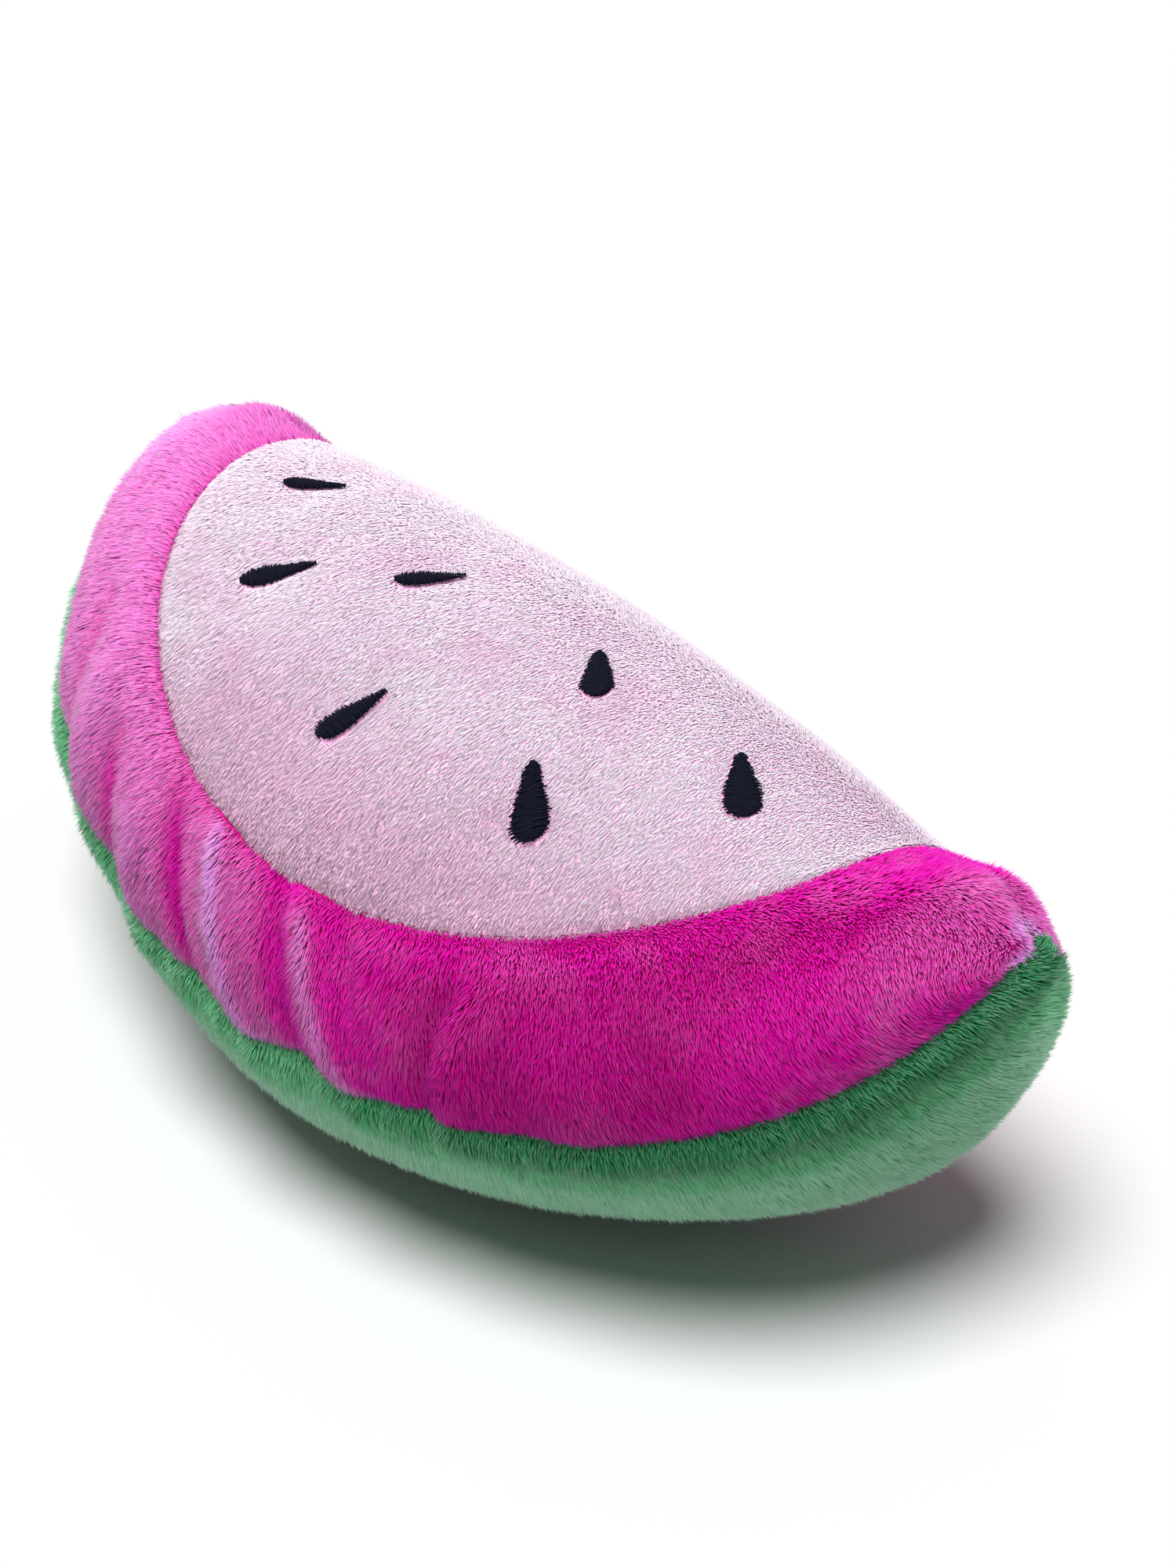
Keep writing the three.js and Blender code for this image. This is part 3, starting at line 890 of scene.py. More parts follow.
@dataclass(frozen=True)
class Plush:
    """Colours of one plush fabric: its cloth and its pile.

    Attributes:
        name: The fabric's name.
        root: Colour of the pile at its root.
        tip: Colour of the pile at its tip.
        light: Lighter colour of the pile, used for its painted sheen and light and for random patches.
        deep: Colour of pile that lies in shade.
        patch: How far patches turn to the light and the deep colour.
        patch_size: Size of the patches, in metres.
        lift: How far the cloth's lift, its painted light and shade, turns the colour.
        own: How far each tuft's own shade turns it.
        softness: Share of the cloth's normal in the pile's shading.
        sheen: Weight of the sheen.
        soak: Depth that light soaks in, in metres.
    """

    name: str
    root: Colour
    tip: Colour
    light: Colour
    deep: Colour
    patch: float
    patch_size: float
    lift: float
    own: float
    softness: float
    sheen: float
    soak: float

    pile_roughness = 0.72
    sheen_roughness = 0.4
    soaked = 0.85
    soak_radius = (1.0, 0.8, 0.9)
    tip_from = 0.85
    patch_detail = 3.0
    patch_roughness = 0.6
    light_range = (0.45, 0.7)
    deep_range = (0.46, 0.72)
    deep_scale = 1.6
    cloth_roughness = 0.9
    cloth_shine = 0.2
    knit_scale = 2500.0
    knit_strength = 0.6
    knit_depth = 0.0004
    fleck_scale = 1800.0
    fleck_range = (0.3, 0.7)
    fleck_most = 0.6

    def pile(self) -> bpy.types.Material:
        """Finish of the pile, darker at the root, with painted light where the cloth's lift is high and
        painted shade where it is low.

        Returns:
            The material.
        """
        tree = ShaderTree(
            f"{self.name}_pile",
            self.pile_roughness,
            Sheen_Weight=self.sheen,
            Sheen_Roughness=self.sheen_roughness,
            Sheen_Tint=(*self.light, 1.0),
            Specular_IOR_Level=0.0,
            Subsurface_Weight=self.soaked,
            Subsurface_Radius=self.soak_radius,
            Subsurface_Scale=self.soak,
        )
        colour = tree.mix(tree.ranged(tree.read("tip"), 0.0, self.tip_from), self.root, self.tip)
        size = 1 / self.patch_size
        for scale, span, turned in (
            (size, self.light_range, self.light),
            (self.deep_scale * size, self.deep_range, self.deep),
        ):
            patches = tree.noise(scale, self.patch_detail, self.patch_roughness)
            colour = tree.mix(tree.ranged(patches, *span, 0.0, self.patch), colour, turned)
        # Painted light where the cloth's lift is above zero, and painted shade where it is below.
        crest = tree.ranged(tree.read("lift"), 0.0, 1.0, 0.0, self.lift)
        colour = tree.mix(crest, colour, self.light)
        valley = tree.ranged(tree.read("lift"), 0.0, -1.0, 0.0, self.lift)
        colour = tree.mix(valley, colour, self.deep)
        own = tree.ranged(tree.read("shade"), 0.0, 1.0, 0.0, self.own)
        tree.follow_ground(self.softness)
        return tree.paint(tree.mix(own, colour, self.light))

    def cloth(self) -> bpy.types.Material:
        """Finish of the knitted ground under the pile.

        Returns:
            The material.
        """
        tree = ShaderTree(
            f"{self.name}_cloth", self.cloth_roughness, Specular_IOR_Level=self.cloth_shine
        )
        tree.bump(tree.noise(self.knit_scale, 3.0, 0.7), self.knit_strength, self.knit_depth)
        flecks = tree.noise(self.fleck_scale, 2.0)
        fine = tree.ranged(flecks, *self.fleck_range, 0.0, self.fleck_most)
        return tree.paint(tree.mix(fine, self.root, self.deep))


@dataclass(frozen=True)
class Thread:
    """Finish of a sewing or embroidery thread."""

    name: str
    dark: Colour
    light: Colour
    roughness: float

    shine = 0.03
    twist_scale = 5200.0
    twist_strength = 0.5
    twist_depth = 0.0001
    twist_range = (0.35, 0.75)

    def build(self) -> bpy.types.Material:
        """Finish with the fine twist of spun thread, lighter in specks along the twist; on the seed thread
        these specks are painted glints.

        Returns:
            The material.
        """
        tree = ShaderTree(self.name, self.roughness, Specular_IOR_Level=self.shine)
        twist = tree.noise(self.twist_scale, 2.0, 0.7)
        tree.bump(twist, self.twist_strength, self.twist_depth)
        return tree.paint(tree.mix(tree.ranged(twist, *self.twist_range), self.dark, self.light))


@dataclass(frozen=True)
class Moulded:
    """Finish of a plastic piece of the squeaker."""

    name: str
    colour: Colour
    cloudy: Colour
    roughness: float
    grain: float

    grain_strength = 0.15
    grain_depth = 0.0002
    cloud_scale = 160.0
    cloud_range = (0.35, 0.7)

    def build(self) -> bpy.types.Material:
        """Finish with the faint clouding and skin of a moulded part.

        Returns:
            The material.
        """
        tree = ShaderTree(self.name, self.roughness, Specular_IOR_Level=0.5)
        tree.bump(tree.noise(self.grain, 3.0, 0.6), self.grain_strength, self.grain_depth)
        cloud = tree.ranged(tree.noise(self.cloud_scale, 3.0), *self.cloud_range)
        return tree.paint(tree.mix(cloud, self.colour, self.cloudy))


def fibre_finish() -> bpy.types.Material:
    """Finish of loose white polyester fibre."""
    tree = ShaderTree("fibre", 0.95, Sheen_Weight=0.4, Sheen_Roughness=0.5)
    strands = tree.noise(1400.0, 4.0, 0.75)
    tree.bump(strands, 0.8, 0.0006)
    tone = tree.ranged(strands, 0.3, 0.7)
    return tree.paint(tree.mix(tone, srgb(214, 213, 208), srgb(244, 244, 241)))


SQUEAKER_FINISHES = {
    "squeaker_bulb": Moulded("bulb_vinyl", srgb(233, 235, 238), srgb(222, 225, 230), 0.38, 900.0),
    "reed_housing": Moulded("housing_plastic", srgb(246, 246, 243), srgb(238, 238, 234), 0.3, 1600.0),
    "reed_wedge": Moulded("wedge_plastic", srgb(240, 240, 236), srgb(230, 230, 226), 0.35, 1600.0),
    "reed": Moulded("reed_film", srgb(214, 220, 226), srgb(202, 209, 217), 0.22, 2400.0),
}

# Each fabric's light colour serves its painted sheen and light, and its deep colour its painted shade;
# random patches mix in both as well.
FLESH = Plush(
    "flesh",
    root=srgb(244, 194, 233),
    tip=srgb(247, 203, 241),
    light=srgb(251, 222, 251),
    deep=srgb(243, 150, 202),
    patch=0.5,
    patch_size=0.017,
    lift=0.8,
    own=0.1,
    softness=0.99,
    sheen=0.1,
    soak=0.0007,
)
BAND = Plush(
    "band",
    root=srgb(200, 0, 126),
    tip=srgb(220, 2, 148),
    light=srgb(210, 126, 211),
    deep=srgb(164, 0, 100),
    patch=0.12,
    patch_size=0.013,
    lift=0.9,
    own=0.04,
    softness=0.94,
    sheen=0.03,
    soak=0.0003,
)
RIND = Plush(
    "rind",
    root=srgb(44, 140, 80),
    tip=srgb(78, 188, 122),
    light=srgb(146, 216, 172),
    deep=srgb(0, 80, 30),
    patch=0.22,
    patch_size=0.013,
    lift=0.9,
    own=0.1,
    softness=0.9,
    sheen=0.04,
    soak=0.0002,
)
# The seed thread's light colour is painted glints on its satin stitches.
SEED_THREAD = Thread("seed_thread", srgb(2, 2, 8), srgb(24, 25, 44), 0.6)
SEAM_THREAD = Thread("seam_thread", srgb(112, 0, 68), srgb(160, 14, 104), 0.7)
RIND_THREAD = Thread("rind_thread", srgb(34, 96, 56), srgb(70, 140, 92), 0.6)


# Pieces


@dataclass(frozen=True)
class Cloth:
    """One panel's outer surface in the row frame, with what its pile needs to know."""

    points: np.ndarray
    nap: np.ndarray
    pile: np.ndarray
    # Painted light above zero and painted shade below, which the pile's material reads
    lift: np.ndarray


@dataclass(frozen=True)
class SeedPlace:
    """Where a seed is embroidered, in shares of the flesh panel."""

    across: float
    down: float
    turn_degrees: float
    size: float
    breadth: float


SEED_PLACES = (
    SeedPlace(-0.752, 0.197, 53, 0.82, 0.76),
    SeedPlace(-0.546, 0.379, 37, 1.0, 0.8),
    SeedPlace(-0.252, 0.236, 41, 0.87, 0.76),
    SeedPlace(-0.076, 0.473, 16, 0.98, 0.88),
    SeedPlace(0.253, 0.21, -46, 0.86, 1.04),
    SeedPlace(0.418, 0.438, -40, 1.12, 0.98),
    SeedPlace(0.7, 0.225, -47, 1.07, 0.98),
)


@dataclass
class SoftSkin:
    """What all the sewn panels share: the form, its rest pose and how the fabric lies.

    Attributes:
        form: Outer form of the slice.
        pose: Rest pose.
        pile_inset: Depth of the cloth under the pile's tips, in millimetres.
        fabric: Thickness of the knitted ground, in millimetres.
        groove_depth: How far a seam draws the cloth in, in millimetres.
        groove_width: Half width of that groove, in millimetres.
        flesh_groove: How far the seam round the flesh draws the cloth in, in millimetres.
        dimple_depth: How far a seed's embroidery draws the flesh in, in millimetres.
        dimple_width: Half width of that dimple, in millimetres.
        pressed: Thickness of the pile that the slice lies on, in millimetres.

    The swells' lengths are in millimetres along the ridge, or in turns down a face.
    """

    form: SliceForm
    pose: RestPose
    pile_inset: float = 1.6
    fabric: float = 1.1
    groove_depth: float = 1.2
    groove_width: float = 1.6
    flesh_groove: float = 0.45
    dimple_depth: float = 0.5
    dimple_width: float = 6.5
    pressed: float = 0.5

    swell_height = 0.35
    swell_share = 0.6
    swell_starts = {Side.FRONT: 1.3, Side.BACK: 4.1}
    swell_long = 11.0
    swell_cross = 23.0
    swell_short = 6.5
    swell_down = 9.0
    swell_down_short = 7.0

    def groove(self, distance: np.ndarray) -> np.ndarray:
        """How much deeper the cloth lies at a distance from a seam of the rind."""
        return self.groove_depth * bump(distance, self.groove_width)

    def crease(self, distance: np.ndarray) -> np.ndarray:
        """How much deeper the cloth lies at a distance from the seam round the flesh."""
        return self.flesh_groove * bump(distance, self.groove_width)

    def fold_height(self, x: np.ndarray, down: np.ndarray, side: Side) -> np.ndarray:
        """Height of the folds at places of a face, in millimetres."""
        folds = FRONT_FOLDS if side is Side.FRONT else BACK_FOLDS
        return sum(fold.at(x, down) for fold in folds)

    def dimples(self, x: np.ndarray, down: np.ndarray) -> np.ndarray:
        """How far the embroidery draws the flesh in."""
        depth = np.zeros_like(x)
        for seed in SEED_PLACES:
            far = np.hypot(
                x - seed.across * self.form.flesh_half_length,
                (down - seed.down) * self.form.seam_depth,
            )
            depth += self.dimple_depth * bump(far, self.dimple_width)
        return depth

    def billow(self, x: np.ndarray, down: np.ndarray, side: Side) -> np.ndarray:
        """Slow swells of the filling under the flesh, in millimetres."""
        shift = self.swell_starts[side]
        crossing = np.sin(down * self.swell_down + x / self.swell_cross + shift)
        swell = np.sin(x / self.swell_long + shift) * crossing
        short = np.sin(x / self.swell_short - down * self.swell_down_short + 2 * shift)
        return self.swell_height * (swell + self.swell_share * short)

    def lie(self, outer: np.ndarray) -> np.ndarray:
        """Directions of the nap, down the panel and a little along it."""
        along = unit(np.gradient(outer, axis=0))
        return unit(unit(np.gradient(outer, axis=1)) + self.nap_slant * along)

    def shell(
        self, name: str, outer: np.ndarray, inner: np.ndarray, finish: bpy.types.Material
    ) -> bpy.types.Object:
        """A closed panel of cloth between two grids of points in the slice's frame."""
        columns, rows = outer.shape[:2]
        placed = [self.pose.place(outer, self.pressed)]
        placed.append(self.pose.place(inner, self.pressed + self.fabric))
        made = new_object(name, np.stack(placed), shell_quads(columns, rows))
        close_up(made)
        made.data.materials.append(finish)
        return made


@dataclass
class FleshPanel(SoftSkin):
    """The flesh, one piece of fabric folded over the ridge. Its pile is painted in shade low on the face."""

    columns: int = 121
    rows: int = 111

    ridge_calm = 0.12
    seam_calm = 4.0
    nap_slant = 0.3
    thinned = 0.12
    thin_width = 1.5
    # Painted shade low on the face and along the seam.
    low_shade = 0.9
    low_down = (0.3, 0.66)
    low_along = (-64, -24)
    seam_shade = 0.6
    seam_shade_width = 1.8

    def surface(self, extra: float) -> tuple[np.ndarray, np.ndarray, np.ndarray]:
        """Points of the panel, their distance from the seam and their share down the face."""
        turn = np.linspace(0, math.pi, self.columns)[:, None]
        down = np.linspace(-1, 1, self.rows)[None, :]
        turn, down = np.broadcast_arrays(turn, down)
        x, seam = self.form.flesh_line(turn)
        share = seam * np.abs(down)
        front = down > 0
        faces = [self.form.face(x, share, side) for side in Side]
        walk = walked(np.where(front[..., None], *faces), axis=1)
        away = np.minimum(walk, walk[:, -1:] - walk)
        swell = np.where(front, *(self.billow(x, share, side) for side in Side))
        calm = (1 - bump(share, self.ridge_calm)) * (1 - bump(away, self.seam_calm))
        depth = self.pile_inset + extra + self.crease(away) + self.dimples(x, share) - swell * calm
        cloths = [self.form.below(x, share, depth, side) for side in Side]
        return np.where(front[..., None], *cloths), away, share

    def build(self, finish: bpy.types.Material) -> tuple[bpy.types.Object, Cloth]:
        """Makes the panel.

        Args:
            finish: Finish of the cloth.

        Returns:
            The panel and its outer cloth for the pile.
        """
        points, away, share = self.surface(0.0)
        skin = self.shell("flesh_panel", points, self.surface(self.fabric)[0], finish)
        outer = self.pose.place(points, self.pressed)
        pile = 1 - self.thinned * bump(away, self.thin_width)
        # Painted shade low on the face and along the seam, as the cloth's lift below zero.
        low = smooth(share, *self.low_down) * smooth(points[..., 0], *self.low_along)
        lift = -self.seam_shade * bump(away, self.seam_shade_width) - self.low_shade * low
        return skin, Cloth(outer, self.lie(outer), pile, lift)


@dataclass
class BandPanel(SoftSkin):
    """The band between the flesh and the rind, on one side.

    Its pile is painted with sheen and light left of one slanted crest and with shade right of it.
    Places along the band and past that crest are in millimetres.
    """

    side: Side = Side.FRONT
    columns: int = 241
    rows: int = 27

    fullness = 0.6
    full_width = 20.0
    risen_most = 1 / 6
    seam_calm = 3.0
    left_slack = 3.6
    left_slack_along = (52, 76)
    nap_slant = 0.35
    thinned = 0.3
    thin_width = 2.0
    crest_place = 28.0
    crest_slant = 60.0
    # Painted sheen and light, painted highlights and painted shade on the band's pile.
    painted_light_most = 0.46
    painted_light_less = 0.12
    painted_light_less_past = (-70, -25)
    painted_light_end_past = (-22, 12)
    painted_light_seam = (-12, 6)
    left_tip = 0.3
    left_tip_along = (86, 99)
    right_tip = 0.25
    right_tip_along = (72, 90)
    right_tip_down = (0.3, 0.8)
    painted_shade_most = 0.7
    painted_shade_past = (4, 24)
    painted_shade_end_along = (72, 88)
    painted_shade_seam = (2, 9)
    crest_light = 0.065
    crest_top = 1.8
    crest_power = 4
    valley_shade = 0.22
    tip_sheen_most = 1.6
    tip_sheen_along = (91, 96)
    tip_sheen_back = 1.2
    tip_sheen_width = 1.6
    edge_light = 0.64
    edge_width = 1.8
    seam_shade = 0.3
    seam_shade_width = 2.0

    def surface(self, extra: float) -> tuple[np.ndarray, np.ndarray, np.ndarray]:
        """Points of the band, their distance from a seam and the painted light and shade of its pile."""
        turn = np.linspace(0, math.pi, self.columns)[:, None]
        across = np.linspace(0, 1, self.rows)[None, :]
        turn, across = np.broadcast_arrays(turn, across)
        x, down = self.form.band_line(turn, across, self.side)
        plain = self.form.face(x, down, self.side)
        walk = walked(plain, axis=1)
        width = walk[:, -1:]
        ends = walked(plain, axis=0)
        ends = np.minimum(ends, ends[-1:] - ends)
        away = np.minimum(np.minimum(walk, width - walk), ends)
        folds = self.fold_height(x, down, self.side)
        share = np.clip(walk / np.maximum(width, 1e-6), 0, 1)
        wide = np.clip(width / self.full_width, 0, 1)
        full = self.fullness * np.sin(math.pi * share) * wide * (1 - bump(away, self.seam_calm))
        full = full * (1 - self.left_slack * smooth(-x, *self.left_slack_along))
        drawn = self.crease(np.minimum(walk, ends))
        depth = self.pile_inset + extra + drawn - folds - full
        points = self.form.below(x, down, depth, self.side)
        points = points - self.seam_pull(turn) * self.groove(width - walk)[..., None]
        return points, away, self.painted_light_and_shade(x, down, walk, ends, folds)

    def painted_light_and_shade(
        self,
        x: np.ndarray,
        down: np.ndarray,
        walk: np.ndarray,
        ends: np.ndarray,
        folds: np.ndarray,
    ) -> np.ndarray:
        """Painted light and sheen on the pile above zero, and painted shade below zero.

        Args:
            x: Places along the ridge.
            down: Shares of the way down the face.
            walk: Distance from the flesh's seam.
            ends: Distance from the nearer tip.
            folds: Height of the folds.

        Returns:
            The painted light and shade, about 1 where the painted light is strongest.
        """
        # Painted sheen and light left of the slanted crest, with more at the left tip and on the upper right
        # tip, fading at the flesh's seam.
        past = x + self.crest_slant * (1 - down) - self.crest_place
        right = smooth(past, *self.painted_light_end_past)
        painted_light = self.painted_light_most - self.painted_light_less * smooth(past, *self.painted_light_less_past)
        painted_light = painted_light * (1 - right) + self.left_tip * smooth(-x, *self.left_tip_along)
        upper = 1 - smooth(down, *self.right_tip_down)
        painted_light = painted_light + self.right_tip * smooth(x, *self.right_tip_along) * upper
        painted_light = painted_light * smooth(walk, *self.painted_light_seam)
        # Painted shade on the band right of the crest, short of the right tip.
        sunk = smooth(past, *self.painted_shade_past) * (1 - smooth(x, *self.painted_shade_end_along))
        sunk = self.painted_shade_most * sunk * smooth(walk, *self.painted_shade_seam)
        # Painted highlight on the folds' crests and painted shade in their valleys.
        crest = self.crest_light * np.clip(folds, 0, self.crest_top) ** self.crest_power
        crest = crest + self.valley_shade * np.minimum(folds, 0)
        # Painted sheen on the pile at the band's right tip.
        tip_sheen = smooth(x, *self.tip_sheen_along) * bump(ends - self.tip_sheen_back, self.tip_sheen_width)
        # Painted sheen along the rind seam.
        edge = self.edge_light * bump(walk[:, -1:] - walk, self.edge_width)
        # Painted shade along the flesh's seam, right of the crest.
        shade = self.seam_shade * bump(walk, self.seam_shade_width) * right
        return crest + self.tip_sheen_most * tip_sheen + edge + painted_light - sunk - shade

    def seam_pull(self, turn: np.ndarray) -> np.ndarray:
        """Direction out of the slice at the rind seam, between the band's and the rind's own."""
        edge_x, edge_down = self.form.band_line(turn, np.ones_like(turn), self.side)
        own = self.form.face_normal(edge_x, edge_down, self.side)
        rind = self.form.rind_normal(turn, np.full_like(turn, float(self.side.value)))
        risen = self.form.rind_rise(edge_x) if self.side is Side.BACK else np.zeros_like(edge_x)
        return unit(own + rind * np.clip(1 - risen / self.risen_most, 0, 1)[..., None])

    def build(self, finish: bpy.types.Material) -> tuple[bpy.types.Object, Cloth]:
        """Makes the band.

        Args:
            finish: Finish of the cloth.

        Returns:
            The band and its outer cloth for the pile.
        """
        points, away, lift = self.surface(0.0)
        name = f"band_panel_{self.side.label}"
        skin = self.shell(name, points, self.surface(self.fabric)[0], finish)
        outer = self.pose.place(points, self.pressed)
        pile = 1 - self.thinned * bump(away, self.thin_width)
        return skin, Cloth(outer, self.lie(outer), pile, lift)

    def edge(self, turn: np.ndarray, folded: bool) -> np.ndarray:
        """Edge of the band at the rind seam, in the slice's frame."""
        x, down = self.form.band_line(turn, np.ones_like(turn), self.side)
        folds = self.fold_height(x, down, self.side) if folded else np.zeros_like(x)
        points = self.form.below(x, down, self.pile_inset - folds, self.side)
        return points - self.seam_pull(turn) * self.groove_depth


@dataclass
class RindPanel(SoftSkin):
    """The rind, a gusset between the two bands.

    It is slack towards its right tip, full under its left half and drawn in at its left tip.
    Places along it are in millimetres.
    """

    columns: int = 241
    rows: int = 49

    slack = 1.2
    slack_place = 66.0
    slack_width = 22.0
    corner = 5.0
    left_swell = 2.9
    left_along = (48, 73)
    swell_from = (0.0, 0.1)
    swell_to = (0.25, 0.75)
    fold_reach = 7.0
    tip_tuck = 2.0
    tuck_along = (90, 97)
    close_start = 96.5
    close_depth = 2.8
    nap_slant = 0.45
    thinned = 0.3
    thin_width = 2.0
    bare = 0.94
    bare_along = (91, 98)
    # Painted sheen and painted shade on the rind's pile, with more of both towards the right tip.
    right_along = (5, 70)
    calm_along = (45, 70)
    painted_light_most = 0.62
    painted_light_from = 3.0
    painted_light_full = 10.0
    seam_shade = 0.6
    seam_shade_right = 0.3
    seam_shade_width = 3.2
    right_wider = 4.0
    right_fuller = 6.0

    def surface(self, extra: float) -> tuple[np.ndarray, np.ndarray]:
        """Points of the rind and their distance from a seam."""
        turn = np.linspace(0, math.pi, self.columns)[:, None]
        share = np.linspace(0, 1, self.rows)[None, :]
        turn, share = np.broadcast_arrays(turn, share)
        form = self.form
        x = -form.half_length * np.cos(turn)
        rise = form.rind_rise(x)
        none = np.zeros_like(x)
        under = walked(form.rind(turn, 2 * share - 1, none), axis=1)[:, -1:]
        behind = walked(form.face(x, 1 - rise * share, Side.BACK), axis=1)[:, -1:]
        reach = share * (under + behind)
        across = np.clip(2 * reach / np.maximum(under, 1e-6) - 1, -1, 1)
        down = 1 - rise * np.clip((reach - under) / np.maximum(behind, 1e-6), 0, 1)
        on_face = (reach > under)[..., None]
        base = np.where(on_face, form.face(x, down, Side.BACK), form.rind(turn, across, none))
        width = np.clip(behind, 0.01, self.corner)
        turned = smooth((reach - under) / width, -1, 1) * np.clip(behind / self.corner, 0, 1)
        normal = unit(
            lerp(
                form.rind_normal(turn, across),
                form.face_normal(x, down, Side.BACK),
                turned[..., None],
            )
        )
        height = form.rind_height(turn, 2 * share - 1) - form.fabric_gap - form.rind_edge
        slack = self.slack * bump(x - self.slack_place, self.slack_width)
        swell = self.left_swell * smooth(-x, *self.left_along) * smooth(share, *self.swell_from)
        height = height + swell * (1 - smooth(share, *self.swell_to))
        height = height - self.tip_tuck * smooth(-x, *self.tuck_along)
        height = height - slack * (1 - (2 * share - 1) ** 2) - extra - self.pile_inset * turned
        closed = smooth(-x, self.close_start, form.half_length)
        height = lerp(height, np.full_like(height, -self.close_depth - extra), closed)
        points = base + normal * height[..., None]
        walk = walked(points, axis=1)
        nears = (walk, walk[:, -1:] - walk)
        pulls = [bump(near, self.groove_width) for near in nears]
        shared = np.maximum(sum(pulls), 1.0)
        moved = points.copy()
        for side, near, pull in zip(Side, nears, pulls):
            band = BandPanel(form, self.pose, side=side)
            column = 0 if side is Side.FRONT else -1
            seam = band.edge(turn[:, column], False)
            folded = band.edge(turn[:, column], True)
            to_seam = (seam - points[:, column])[:, None, :]
            to_fold = (folded - seam)[:, None, :]
            moved += (pull / shared)[..., None] * to_seam
            moved += bump(near, self.fold_reach)[..., None] * to_fold
        return moved, np.minimum(*nears)

    def build(self, finish: bpy.types.Material) -> tuple[bpy.types.Object, Cloth]:
        """Makes the rind.

        Args:
            finish: Finish of the cloth.

        Returns:
            The rind and its outer cloth for the pile.
        """
        points, away = self.surface(0.0)
        skin = self.shell("rind_panel", points, self.surface(self.fabric)[0], finish)
        outer = self.pose.place(points, self.pressed)
        x = points[..., 0]
        right = smooth(x, *self.right_along)
        left = smooth(-x, *self.calm_along)
        pile = 1 - self.thinned * bump(away, self.thin_width)
        pile = pile * (1 - self.bare * smooth(-x, *self.bare_along))
        # Painted sheen away from the seams, wider towards the right tip and less at the left, and painted
        # shade along the seams.
        start = self.painted_light_from + self.right_wider * right
        full = self.painted_light_full + self.right_fuller * right
        painted_light = self.painted_light_most * (1 - left) * smooth(away, start, full)
        shade = self.seam_shade + self.seam_shade_right * right
        shade = shade * bump(away, self.seam_shade_width + self.right_wider * right)
        return skin, Cloth(outer, self.lie(outer), pile, painted_light - shade)


# Pile


@dataclass(frozen=True)
class PileCut:
    """How the pile of one fabric is cut and how it lies.

    Attributes:
        tufts: Tufts on a square metre.
        width: Half width of a tuft at its root, in metres.
        length: Length of a tuft, in metres.
        nap: How far the pile leans along the nap.
        clump_size: Clumps on a metre.
        clump: How much clumps turn the pile.
        scatter: How much each tuft turns by itself.
    """

    tufts: float
    width: float
    length: float
    nap: float
    clump_size: float
    clump: float
    scatter: float


FLESH_CUT = PileCut(14.0e6, 0.00016, 0.0015, 2.1, 200.0, 0.2, 0.14)
BAND_CUT = PileCut(13.0e6, 0.00017, 0.0024, 1.2, 420.0, 1.0, 0.25)
RIND_CUT = PileCut(11.5e6, 0.00018, 0.0026, 1.1, 380.0, 1.5, 0.25)

# Distances from the slice's middle where a half has the fabric to itself, in millimetres
FLESH_REACH = 12.0
BAND_REACH = 25.0


